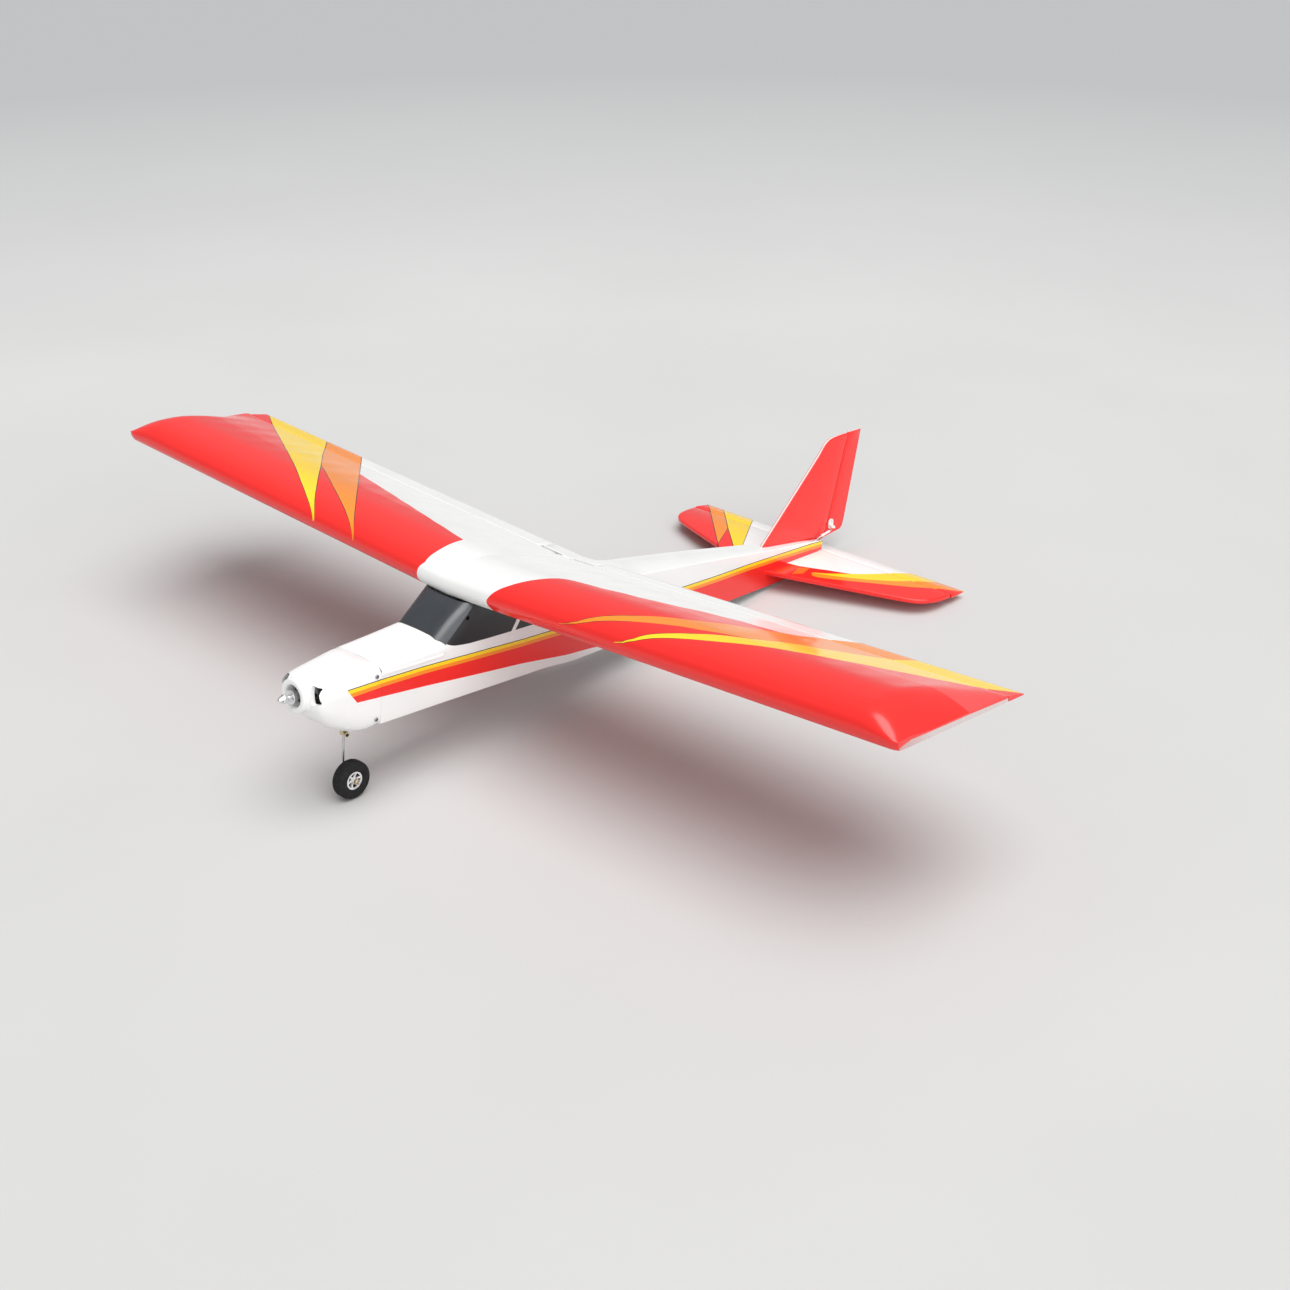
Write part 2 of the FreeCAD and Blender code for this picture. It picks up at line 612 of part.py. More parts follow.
def panel(label, s):
    b = new_body(label)
    loops = [sec(outer), sec(inner)]
    p = pad(b, sketch(b, "YZ_Plane", loops), tip_x, rev=(s < 0), vec=DIRP if s > 0 else DIRS)
    doc.recompute()
    before = p.Shape.Volume
    pocket(b, sketch(b, "XY_Plane", [bay(s, 0, 10.4, 175.6, 216.4)], (0, 0, 6)), 20)
    q = cut_all(b, sketch(b, "XY_Plane", [bay(s, 13.4, 21.2, 233.6, 250)]))
    doc.recompute()
    if not before - 1500 < q.Shape.Volume + 900 < before + 300:
        print("panel pockets", before, q.Shape.Volume)
    return final(b, label)


panel("wing_panel_port", 1)
panel("wing_panel_starboard", -1)


def tip(label, s):
    secs = []
    for x, k in ((737.05, 1.0), (752, 0.93), (763, 0.76), (770, 0.55), (775, 0.25)):
        pts = [(y, z * k) for y, z in [(num(a), num(c)) for a, c in outer]]
        secs.append([(s * x, y, z - num(incid) * y + x * DIH) for y, z in pts])
    return loft(label, secs)


tip("wing_tip_port", 1)
tip("wing_tip_starboard", -1)


def rib_group(label):
    base = [(8, 2.0), (2.8, 6), (1.4, 12), (1.6, 20), (5, 28.5), (11, 33.5), (18, 37), (29, 40.2), (42, 41.8), (57, 42.6), (76, 41.6),
            (105, 37.4), (136, 31.4), (169, 23.8), (205, 14.6), (222, 10.4), (222, 2.0)]
    h1 = [(26, 9), (50, 9), (50, 33), (26, 31)]
    h2 = [(76, 8), (130, 8), (130, 24), (76, 33)]
    notch = [(55.2, 0), (62.3, 0), (62.3, 60), (55.2, 60)]
    shapes = []
    for x, s in [(x, s) for s in (1, -1) for x in (70, 180, 290, 400, 510, 620, 725)]:
        faces = []
        for lp in (base, h1, h2, notch):
            pts = [V(s * (x - 1.2), y, z - num(incid) * y + x * DIH) for y, z in lp]
            faces.append(Part.Face(Part.makePolygon(pts + [pts[0]])).extrude(V(s * 2.4, 0, 0)))
        shapes.append(faces[0].cut(faces[1:]))
    f = doc.addObject("Part::Feature", label + "_shape")
    f.Shape = Part.makeCompound(shapes)
    return final(f, label)


rib_group("wing_ribs")

# main spars, seated between the rib halves, and the bent brace that joins them
b = new_body("wing_spars_p")
lp = [(y, z - incid * y) for y, z in rect(55.6, 1.9, 61.9, 42.0)]
pad(b, sketch(b, "YZ_Plane", [[(y, z + 72 * DIH) for y, z in lp]], (0, 0, 72)), 650, vec=DIRP)
b2 = new_body("wing_spars_s")
pad(b2, sketch(b2, "YZ_Plane", [[(y, z + 72 * DIH) for y, z in lp]], (0, 0, -72)), 650, vec=DIRS)
final(fuse(b, b2), "wing_spars")
b = new_body("dihedral_brace")
loop = [(y, z - incid * y) for y, z in rect(64, 3.4, 70, 40.6)]
pad(b, sketch(b, "YZ_Plane", [loop]), 66, vec=DIRP)
pad(b, sketch(b, "YZ_Plane", [loop]), 66, rev=True, vec=DIRS)
final(b, "dihedral_brace")

# fixed trailing edge between the two ailerons
b = new_body("wing_centre_te")
tz = foil_z(246)
loop = sec([(246, 0.0), (278, 0.0), (278, 2.2), (246, tz)])
web = sec([(te + 0.05, 0.4), (247, 0.4), (247, tz - 0.6), (te + 0.05, tz)])
for s, vec in ((1, DIRP), (-1, DIRS)):
    pad(b, sketch(b, "YZ_Plane", [loop]), ail_in - 1.2, rev=(s < 0), vec=vec)
    pad(b, sketch(b, "YZ_Plane", [web]), 12, rev=(s < 0), vec=vec)
final(b, "wing_centre_te")

# strip ailerons, hinged about the middle of the wing's trailing face
HZ = foil_z(241) / 2 - num(incid) * 241


def aileron(label, s):
    b = new_body(label)
    y0, y1 = 239.95, 278.0
    z0 = foil_z(243.5)
    pts = [(y0, z0 / 2), (243.7, z0 - 0.1), (y1, 2.2), (y1, 0.0), (243.7, 0.0)]
    x0, x1 = num(ail_in), num(half_span)
    loop = [(y, z - num(incid) * y + x0 * DIH) for y, z in pts]
    pad(b, sketch(b, "YZ_Plane", [loop], (0, 0, s * ail_in)), half_span - ail_in, rev=(s < 0), vec=DIRP if s > 0 else DIRS)
    return final(b, label)


aileron("aileron_port", 1)
aileron("aileron_starboard", -1)


def on_ail(s, x):
    return (s * x, 241.0, HZ + x * DIH)


for nm, s in (("port", 1), ("starboard", -1)):
    a, c = on_ail(s, 17), on_ail(s, 82)
    final(fuse(cyl(a, c, 1.25), ball(a, 1.25), cyl(a, (a[0], 241.0, a[2] - 27), 1.25)), "torque_rod_" + nm)
final(fuse(*[box(s * x - 8, 229, HZ + x * DIH - 0.3, s * x + 8, 239.3, HZ + x * DIH + 0.3) for x in (200, 420, 640) for s in (1, -1)]),
      "aileron_hinges")

# aileron servo under the wing centre, its arm and two links
servo("aileron_servo", 0, 196, -4.2, up=-1, deep=13.2)
arm("aileron_servo_arm", 0, 186, -17.1, (15, -15), up=-1)
for nm, s in (("port", 1), ("starboard", -1)):
    zl = -20.9
    hx = s * 17
    body = fuse(cyl((s * 13.5, 186, zl), (hx, 236.8, zl), 1.0),
                cut(cyl((hx, 241.5, zl - 1.2), (hx, 241.5, zl + 1.2), 4.8), cyl((hx, 241.5, zl - 2), (hx, 241.5, zl + 2), 3.0)))
    final(body, "aileron_link_" + nm)

# ================================================================ checks and export
doc.recompute()
bad = []
for o in doc.Objects:
    if any(k in o.State for k in ("Invalid", "Error")):
        bad.append("%s %s" % (o.Name, o.State))
for label, o in nodes:
    if o.Shape.isNull() or not o.Shape.isValid() or o.Shape.Volume < 1:
        bad.append("shape %s" % label)
if bad:
    raise RuntimeError("failed: " + "; ".join(bad))
os.makedirs("parts", exist_ok=True)
box_all = FreeCAD.BoundBox()
for label, o in nodes:
    sh = o.Shape
    box_all.add(sh.BoundBox)
    print("%-26s solids %d  volume %9.0f  x %.1f..%.1f y %.1f..%.1f z %.1f..%.1f" % (
        label, len(sh.Solids), sh.Volume, sh.BoundBox.XMin, sh.BoundBox.XMax, sh.BoundBox.YMin, sh.BoundBox.YMax, sh.BoundBox.ZMin, sh.BoundBox.ZMax))
    sh.exportStep("parts/%s.step" % label)
print("nodes", len(nodes), "box", box_all)
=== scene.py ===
import math

import bmesh
import bpy
import numpy as np
from mathutils import Matrix, Vector


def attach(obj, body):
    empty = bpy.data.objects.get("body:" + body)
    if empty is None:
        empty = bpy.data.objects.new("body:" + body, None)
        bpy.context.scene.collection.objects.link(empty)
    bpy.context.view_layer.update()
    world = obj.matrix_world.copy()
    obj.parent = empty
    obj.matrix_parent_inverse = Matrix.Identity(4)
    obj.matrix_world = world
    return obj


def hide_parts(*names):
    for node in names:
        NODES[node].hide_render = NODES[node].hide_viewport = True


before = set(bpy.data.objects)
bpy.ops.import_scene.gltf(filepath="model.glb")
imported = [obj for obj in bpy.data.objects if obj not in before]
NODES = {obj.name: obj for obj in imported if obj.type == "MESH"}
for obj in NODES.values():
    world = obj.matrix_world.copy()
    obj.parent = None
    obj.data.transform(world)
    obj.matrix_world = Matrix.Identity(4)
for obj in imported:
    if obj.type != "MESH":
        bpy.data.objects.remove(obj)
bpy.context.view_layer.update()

# Looks of a radio-controlled high-wing trainer aeroplane. Meshes are written in the
# airframe's own frame, in millimetres (+X port, -Y nose, +Z up, origin at the lower
# leading edge of the wing on the centre line), and set into the row frame by row().

PITCH = math.radians(6.49)
CP, SP = math.cos(PITCH), -math.sin(PITCH)
SHY, SHZ = -337.43, 231.58
INC, DIH = 0.0097, 0.052


def row(pts):
    a = np.asarray(pts, float).reshape(-1, 3)
    return np.stack([a[:, 0], a[:, 1] * CP - a[:, 2] * SP + SHY, a[:, 1] * SP + a[:, 2] * CP + SHZ], 1) / 1000.0


# ------------------------------------------------------------------ node kit
class NT:
    """A material's node tree with short helpers. Coordinates are airframe millimetres at rest."""

    def __init__(self, name):
        self.mat = bpy.data.materials.new(name)
        self.mat.use_nodes = True
        self.t = self.mat.node_tree
        self.t.nodes.clear()
        self.out = self.n("ShaderNodeOutputMaterial")
        self.b = self.n("ShaderNodeBsdfPrincipled")
        self.l(self.b.outputs["BSDF"], self.out.inputs["Surface"])
        self._c = None

    def n(self, kind, **kw):
        node = self.t.nodes.new(kind)
        for k, v in kw.items():
            setattr(node, k, v)
        return node

    def l(self, a, b):
        self.t.links.new(a, b)

    def put(self, sock, v):
        if isinstance(v, bpy.types.NodeSocket):
            self.l(v, sock)
        else:
            sock.default_value = v

    def m(self, op, a, b=None, c=None, clamp=False):
        node = self.n("ShaderNodeMath", operation=op, use_clamp=clamp)
        for i, v in enumerate((a, b, c)):
            if v is not None:
                self.put(node.inputs[i], v)
        return node.outputs[0]

    def pos(self):
        """Airframe coordinates, in millimetres, as a vector socket."""
        if self._c is None:
            tc = self.n("ShaderNodeTexCoord")
            mp = self.n("ShaderNodeMapping", vector_type="POINT")
            mp.inputs["Scale"].default_value = (1000, 1000, 1000)
            mp.inputs["Rotation"].default_value = (PITCH, 0, 0)
            mp.inputs["Location"].default_value = (0, -(SHY * CP + SHZ * SP), -(-SHY * SP + SHZ * CP))
            self.l(tc.outputs["Object"], mp.inputs["Vector"])
            sep = self.n("ShaderNodeSeparateXYZ")
            self.l(mp.outputs[0], sep.inputs[0])
            self._c = (mp.outputs[0], sep.outputs[0], sep.outputs[1], sep.outputs[2])
        return self._c

    def curve(self, x, pts, x0, x1, y0, y1):
        """Piecewise-linear function of x."""
        xn = self.m("MULTIPLY_ADD", x, 1.0 / (x1 - x0), -x0 / (x1 - x0), clamp=True)
        node = self.n("ShaderNodeFloatCurve")
        cm = node.mapping
        c = cm.curves[0]
        q = [((a - x0) / (x1 - x0), (b - y0) / (y1 - y0)) for a, b in pts]
        q = [(min(max(a, 0), 1), min(max(b, 0), 1)) for a, b in q]
        if q[0][0] > 0:
            q.insert(0, (0.0, q[0][1]))
        if q[-1][0] < 1:
            q.append((1.0, q[-1][1]))
        c.points[0].location = q[0]
        c.points[1].location = q[-1]
        for a in q[1:-1]:
            c.points.new(*a)
        for p in c.points:
            p.handle_type = "VECTOR"
        cm.update()
        self.l(xn, node.inputs["Value"])
        return self.m("MULTIPLY_ADD", node.outputs[0], y1 - y0, y0)

    def gt(self, a, b):
        return self.m("GREATER_THAN", a, b)

    def lt(self, a, b):
        return self.m("LESS_THAN", a, b)

    def both(self, a, b):
        return self.m("MULTIPLY", a, b)

    def either(self, a, b):
        return self.m("MAXIMUM", a, b)

    def no(self, a):
        return self.m("SUBTRACT", 1.0, a)

    def mix(self, fac, a, b):
        node = self.n("ShaderNodeMix", data_type="RGBA")
        self.put(node.inputs[0], fac)
        for s, v in ((6, a), (7, b)):
            self.put(node.inputs[s], v if isinstance(v, bpy.types.NodeSocket) else tuple(v) + (1.0,))
        return node.outputs[2]

    def noise(self, scale, detail=3.0, rough=0.5, vec=None, dist=0.0):
        node = self.n("ShaderNodeTexNoise")
        self.l(vec or self.pos()[0], node.inputs["Vector"])
        node.inputs["Scale"].default_value = scale
        node.inputs["Detail"].default_value = detail
        node.inputs["Roughness"].default_value = rough
        node.inputs["Distortion"].default_value = dist
        return node.outputs["Fac"]

    def stretch(self, sx, sy, sz):
        node = self.n("ShaderNodeVectorMath", operation="MULTIPLY")
        self.l(self.pos()[0], node.inputs[0])
        node.inputs[1].default_value = (sx, sy, sz)
        return node.outputs[0]

    def span(self, x, lo, hi, a, b):
        node = self.n("ShaderNodeMapRange")
        self.put(node.inputs[0], x)
        for i, v in zip((1, 2, 3, 4), (lo, hi, a, b)):
            node.inputs[i].default_value = v
        return node.outputs[0]

    def shade(self, colour, amount=0.05, scale=0.02, detail=3.0):
        """A colour with slow uneven tone, as on real film or plastic."""
        f = self.span(self.noise(scale, detail), 0.3, 0.7, 1.0 - amount, 1.0 + amount)
        node = self.n("ShaderNodeMix", data_type="RGBA", blend_type="MULTIPLY")
        node.inputs[0].default_value = 1.0
        self.put(node.inputs[6], colour if isinstance(colour, bpy.types.NodeSocket) else tuple(colour) + (1.0,))
        comb = self.n("ShaderNodeCombineColor")
        for i in range(3):
            self.l(f, comb.inputs[i])
        self.l(comb.outputs[0], node.inputs[7])
        return node.outputs[2]

    def bump(self, height, dist, strength=1.0):
        node = self.n("ShaderNodeBump")
        node.inputs["Strength"].default_value = strength
        node.inputs["Distance"].default_value = dist
        self.put(node.inputs["Height"], height)
        self.l(node.outputs[0], self.b.inputs["Normal"])

    def set(self, **kw):
        names = {"rough": "Roughness", "metal": "Metallic", "spec": "Specular IOR Level", "coat": "Coat Weight",
                 "coat_rough": "Coat Roughness", "colour": "Base Color", "aniso": "Anisotropic", "sheen": "Sheen Weight"}
        for k, v in kw.items():
            s = self.b.inputs[names[k]]
            if k == "colour" and not isinstance(v, bpy.types.NodeSocket):
                v = tuple(v) + (1.0,)
            self.put(s, v)


# ------------------------------------------------------------------ colours (linear)
RED = (0.88, 0.020, 0.016)
ORANGE = (0.93, 0.27, 0.018)
YELLOW = (0.98, 0.66, 0.016)
WHITE = (0.86, 0.86, 0.85)
INK = (0.022, 0.018, 0.018)
BLACK = (0.012, 0.013, 0.015)


def film_finish(k, colour, rough=0.17, wrinkle=1.0):
    """Heat-shrunk gloss film: slow tone, faint wrinkles and small scuffs."""
    k.set(colour=k.shade(colour, 0.012, 0.008), spec=0.5, coat=0.25, coat_rough=0.08)
    k.set(rough=k.span(k.noise(0.022, 4.0, 0.55), 0.3, 0.75, rough, rough + 0.11))
    slow = k.noise(0.016, 1.5, 0.4, dist=0.4)
    crease = k.noise(1.0, 1.5, 0.4, vec=k.stretch(0.010, 0.05, 0.03))
    h = k.m("MULTIPLY_ADD", slow, 0.5 * wrinkle, k.m("MULTIPLY_ADD", crease, 0.07 * wrinkle, k.m("MULTIPLY", k.noise(0.25, 2.0), 0.006)))
    k.bump(h, 0.001, 0.4)


def plain(name, colour, rough=0.4, metal=0.0, spec=0.5, amount=0.06, scale=0.05, grain=0.6, depth=0.00005, coat=0.0, spread=0.12, detail=4.0):
    """Moulded plastic or machined metal with uneven tone, roughness and a fine surface."""
    k = NT(name)
    k.set(colour=k.shade(colour, amount, scale), metal=metal, spec=spec, coat=coat, coat_rough=0.1)
    k.set(rough=k.span(k.noise(scale * 1.7, detail, 0.6), 0.3, 0.7, max(rough - spread / 2, 0.04), rough + spread / 2))
    k.bump(k.noise(grain, 3.0, 0.6), depth, 0.6)
    return k.mat


def brushed(name, colour, axis=(0.05, 2.2, 0.05), rough=0.28, depth=0.00004):
    k = NT(name)
    streak = k.noise(1.0, 3.0, 0.6, vec=k.stretch(*axis))
    k.set(colour=k.shade(colour, 0.08, 0.2), metal=1.0, spec=0.5)
    k.set(rough=k.span(streak, 0.3, 0.7, rough - 0.08, rough + 0.12))
    k.bump(streak, depth, 0.5)
    return k.mat


def wood(name, light, dark, axis=(0.02, 0.02, 0.25), rough=0.62):
    k = NT(name)
    base = k.noise(1.0, 4.0, 0.6, vec=k.stretch(*axis), dist=1.2)
    fine = k.noise(1.0, 5.0, 0.7, vec=k.stretch(axis[0] * 5, axis[1] * 5, axis[2] * 7))
    f = k.m("MULTIPLY_ADD", fine, 0.45, k.m("MULTIPLY", base, 0.55))
    k.set(colour=k.mix(k.span(f, 0.36, 0.64, 0.0, 1.0), light, dark), spec=0.3)
    k.set(rough=k.span(fine, 0.3, 0.7, rough - 0.08, rough + 0.08))
    k.bump(fine, 0.00012, 0.5)
    return k.mat


# ------------------------------------------------------------------ printed film
WING_P = dict(
    white=[(0, -60), (70, -60), (72, -9), (90, -4), (98.5, 2), (107, 9), (112.4, 15.5), (119.8, 27), (125.2, 40.6), (131, 52), (137, 66), (144.8, 80),
           (152, 86), (163.8, 90), (184, 93), (206.1, 97), (231.6, 105), (263.2, 114.2), (291.7, 123.2), (317.4, 135.3), (341.5, 148.0), (368.3, 159.2),
           (395, 168.4), (426.8, 173.9), (458.1, 177.3), (473.6, 200.1), (485, 229.5), (501.9, 252), (526.6, 281.9), (531, 330), (780, 330)],
    ou=[(0, -60), (224.5, -60), (225, -5), (240, -4.1), (255, -1.2), (273.3, 7), (297.2, 20.7), (318.7, 34.6), (339.5, 50.4), (360.5, 66.2), (382.6, 82.6),
        (398.9, 102), (414.5, 124.6), (433.5, 145.1), (451.3, 165.5), (458.1, 177.3), (473.6, 200.1), (485, 229.5), (501.9, 252), (526.6, 281.9), (531, 330), (780, 330)],
    ol=[(0, -60), (224.5, -60), (225, -5.1), (240, -4.55), (255, -3.1), (270, 0.2), (292, 6.9), (318.5, 16.3), (343.7, 27), (367.7, 38), (392.1, 49), (419.8, 57.8), (444.3, 68.6),
        (469.9, 79), (491.6, 93.9), (505, 115), (521, 136), (541.3, 156), (558.4, 176), (573.8, 198.8), (587.9, 223.1), (601.7, 249.1), (615.3, 280), (637, 330), (780, 330)],
    yu=[(0, -60), (324.5, -60), (325, -5), (340, -3.9), (355, 0.4), (375, 11.7), (398.1, 24.8), (418.7, 38.8), (439.3, 53.9), (460.2, 69), (481.7, 85),
        (497.8, 104.7), (505, 115), (521, 136), (541.3, 156), (558.4, 176), (573.8, 198.8), (587.9, 223.1), (601.7, 249.1), (615.3, 280), (637, 330), (780, 330)],
    yl=[(0, -60), (324.5, -60), (325, -5.1), (342, -4.4), (357, -1.7), (372, 3.0), (394.3, 11), (419.3, 20.5), (443, 31.2), (466.4, 42.9), (488.7, 55.5), (510.1, 68.7),
        (531.3, 82), (554.4, 95.6), (575.2, 109.4), (606.8, 130.4), (636.8, 152.6), (667.9, 177), (694.8, 201.6), (725.6, 227.5), (752, 253.4), (772.7, 277.4), (780, 288)],
    lines=(("ou", 225.2, 330), ("ol", 225.2, 330), ("yu", 325.2, 425), ("yl", 325.2, 425)))
WING_S = dict(
    white=[(0, -60), (49, -60), (49.3, 12), (54.1, 35.7), (60.1, 62), (68.1, 92.4), (106.2, 101.3), (167.7, 116.4), (265.7, 141.6), (335.6, 160.5), (405.8, 178.9),
           (414, 185), (519, 278), (575, 330), (780, 330)],
    ou=[(0, -60), (199, -60), (199.8, -5), (214.6, 7.4), (260.2, 48.9), (332.6, 113.9), (409.4, 181.3), (519, 278), (575, 330), (780, 330)],
    ol=[(0, -60), (199, -60), (199.8, -7), (234.6, 11.4), (276.5, 33.6), (336.1, 66), (415.7, 113.8), (444.1, 131.0), (516.3, 192.5), (610, 278), (665, 330), (780, 330)],
    yu=[(0, -60), (291, -60), (291.6, -5), (313.1, 12.9), (347.2, 44.2), (398.9, 90.7), (444.1, 131.0), (516.3, 192.5), (610, 278), (665, 330), (780, 330)],
    yl=[(0, -60), (291, -60), (291.6, -7), (308, 0.7), (333.2, 12.7), (374.4, 35.1), (451.5, 81.1), (543.3, 135.8), (681.2, 220.6), (771, 278), (780, 284)],
    lines=(("ou", 190, 780), ("ol", 190, 780), ("yu", 285, 780), ("yl", 285, 780)))


def half_width(pts, lo, hi, w):
    """Half-width along y of a line of true half-width w that follows pts, only between x = lo and hi."""
    out = []
    for (a, b), (c, d) in zip(pts, pts[1:]):
        s = (d - b) / max(c - a, 0.5)
        h = w * math.sqrt(1 + min(s * s, 9))
        for x in (a + 0.01, c - 0.01):
            out.append((x, h if lo <= x <= hi else 0.0))
    out.sort()
    return out


def wing_film(name, art, under_red=True):
    k = NT(name)
    _, x, y, z = k.pos()
    ax = k.m("ABSOLUTE", x)
    f = {q: k.curve(ax, art[q], 0, 780, -60, 330) for q in ("white", "ou", "ol", "yu", "yl")}
    white = k.gt(y, f["white"])
    if name.endswith("starboard"):
        arc = k.curve(y, [(-20, 59), (-5, 59), (2.5, 50.5), (13, 49.3), (20, 50)], -20, 20, 0, 100)
        white = k.either(white, k.both(k.lt(ax, arc), k.lt(y, 14)))
    zp = k.m("SUBTRACT", k.m("MULTIPLY_ADD", y, INC, z), k.m("MULTIPLY", ax, DIH))
    over = k.either(k.gt(zp, 15.0), k.gt(y, 12.0))
    orange = k.both(k.both(k.gt(y, f["ol"]), k.lt(y, f["ou"])), over)
    yellow = k.both(k.both(k.gt(y, f["yl"]), k.lt(y, f["yu"])), over)
    col = k.mix(white, RED, WHITE)
    col = k.mix(orange, col, ORANGE)
    col = k.mix(yellow, col, YELLOW)
    # on the blunt nose a step in y is a long way round the surface, so lines are drawn finer there
    thin = k.curve(y, [(-20, 0.1), (-5, 0.12), (-3, 0.24), (0, 0.42), (5, 0.64), (12, 0.86), (25, 1.0)], -20, 300, 0, 1.0)
    ink = None
    for q, lo, hi in art["lines"]:
        w = k.curve(ax, half_width(art[q], lo, hi, 0.62), 0, 780, 0, 8)
        one = k.lt(k.m("ABSOLUTE", k.m("SUBTRACT", y, f[q])), k.m("MULTIPLY", w, thin))
        ink = one if ink is None else k.either(ink, one)
    col = k.mix(k.both(ink, over), col, INK)
    # painted sheen: the film over the open rib bays behind the sheeting is painted a little paler, in flat facets, as a
    # painted reflection of the bright sky on the flatter aft part
    cell = k.n("ShaderNodeTexVoronoi")
    k.l(k.stretch(0.0105, 0.0145, 0.002), cell.inputs["Vector"])
    cell.inputs["Scale"].default_value = 1.0
    edge = k.curve(ax, [(0, 118), (420, 118), (560, 124), (700, 132), (737, 140), (780, 150)], 0, 780, 0, 300)
    aft = k.both(k.span(k.m("SUBTRACT", y, edge), -0.8, 1.4, 0.0, 1.0), k.both(k.lt(y, 238.6), k.both(k.gt(ax, 80.0), k.gt(zp, 3.0))))
    painted_sheen = k.m("MULTIPLY", aft, k.m("MULTIPLY_ADD", cell.outputs["Color"], 0.060, 0.030))
    painted_sheen = k.m("MULTIPLY", painted_sheen, k.no(k.m("MULTIPLY", k.either(orange, yellow), 0.65)))
    col = k.mix(painted_sheen, col, (0.95, 0.93, 0.93))
    # shadow line of the hinge
    hinge = k.both(k.both(k.gt(y, 239.1), k.lt(y, 241.9)), k.both(k.gt(zp, 3.0), k.gt(ax, 56.5)))
    col = k.mix(k.m("MULTIPLY", hinge, 0.62), col, (0.05, 0.02, 0.02))
    # underside: plain red outer panels, white centre
    under = k.both(k.lt(zp, 0.45), k.gt(y, 9.0))
    low = k.mix(k.lt(ax, 70.0), (0.64, 0.020, 0.017), WHITE)
    col = k.mix(under, col, low)
    film_finish(k, col, 0.17, 1.0)
    return k.mat


DECK = [(290, -8), (322, -27), (370, -38), (503, -51.5), (596, -62), (735, -79.3), (816, -86.5), (886, -95)]
YTOP = [(-230, -74.3), (-219, -74), (-162, -71), (-86, -71.6), (9, -75), (108, -78.4), (156, -79), (300, -81.8), (481, -86), (580, -88.3), (663, -88.9),
        (766, -91.6), (850, -94.0), (889, -96.2)]
RBOT = [(-230, -93.5), (-203, -94.8), (-163, -96.6), (-87, -101.8), (8, -109.6), (108, -117), (204, -127.5), (260, -131.8), (330, -141), (345, -150), (900, -150)]


def stripes(k, base, slant=True, top_limit=None):
    """The side's printed band over a base colour: dark line, yellow, orange, red."""
    _, x, y, z = k.pos()
    zt = k.curve(y, YTOP, -230, 900, -160, -60)
    zb = k.curve(y, RBOT, -230, 900, -160, -60)
    d = k.m("SUBTRACT", zt, z)
    band = k.both(k.gt(d, 0.0), k.gt(z, zb))
    if slant:
        cutl = k.m("MULTIPLY_ADD", k.m("ADD", z, 74.0), -0.77, -219.0)
        band = k.both(band, k.gt(y, cutl))
    col = k.mix(band, base, RED)
    col = k.mix(k.both(band, k.lt(d, 11.2)), col, ORANGE)
    col = k.mix(k.both(band, k.lt(d, 5.8)), col, YELLOW)
    line = k.both(k.lt(k.m("ABSOLUTE", d), 0.65), k.gt(y, -217.5))
    return k.mix(line, col, INK)


def body_film(name):
    k = NT(name)
    _, x, y, z = k.pos()
    col = stripes(k, WHITE, slant=False)
    # printed dark windows
    zl = k.curve(y, [(-45, -47.5), (-42.5, -49.7), (-36, -52.6), (-29.4, -54.6), (-15, -56.8), (-0.7, -58.1), (38.3, -59.2), (84, -59.8), (178, -60.2), (210, -60.2)],
                 -45, 210, -70, -40)
    up = k.gt(z, zl)
    lead = k.lt(y, k.m("MULTIPLY_ADD", k.m("ADD", z, 59.7), 0.606, 82.3))
    aft = k.both(k.gt(y, k.m("MULTIPLY_ADD", k.m("ADD", z, 61.3), 0.66, 89.0)), k.lt(y, k.m("MULTIPLY_ADD", k.m("ADD", z, 60.0), -0.45, 176.0)))
    pane = k.both(up, k.either(lead, aft))
    pane = k.both(pane, k.gt(y, -46.0))
    pane = k.both(pane, k.lt(y, 200.0))
    col = k.mix(pane, col, BLACK)
    zb = k.curve(y, [(-160, -138), (160, -138), (220, -142), (626, -144), (783, -144), (862, -121.4), (900, -117)], -160, 900, -150, -110)
    col = k.mix(k.lt(z, k.m("ADD", zb, 0.5)), col, WHITE)
    film_finish(k, col, 0.17, 0.8)
    return k.mat


STAB_P = dict(
    white=[(0, 700), (9, 776), (21.3, 779), (39.9, 784), (62, 795), (83.9, 807.9), (103, 817), (120.1, 827), (135, 846), (149.9, 869), (177.4, 920.6), (186, 940), (300, 940)],
    yu=[(0, 700), (72, 700), (74, 776), (90, 789), (104, 806), (120.1, 827), (135, 846), (149.9, 869), (177.4, 920.6), (186, 940), (300, 940)],
    yl=[(0, 700), (44, 700), (45, 777), (57, 794), (67, 759), (72, 757), (74, 775), (92, 784), (112.4, 794.9), (152.5, 824.3), (188.6, 859.3), (231, 919.8), (245, 940), (300, 940)],
    ol=[(0, 700), (44, 700), (45, 776), (57, 741), (67, 758), (72, 757), (74, 774), (84, 763), (96, 765), (123.8, 783), (161.3, 811.8), (222, 857.5), (284.2, 917.9), (300, 933)])
STAB_S = dict(
    white=[(0, 700), (34, 700), (106.1, 813.6), (174.7, 921.4), (186, 940), (300, 940)],
    ou=[(0, 700), (89, 700), (129.3, 772.1), (167.1, 839.9), (244.1, 919.7), (263, 940), (300, 940)],
    oy=[(0, 700), (26, 700), (116.9, 790.5), (167.1, 839.9), (244.1, 919.7), (263, 940), (300, 940)],
    ol=[(0, 700), (65, 700), (133.7, 769.9), (278.1, 916.7), (300, 939)])


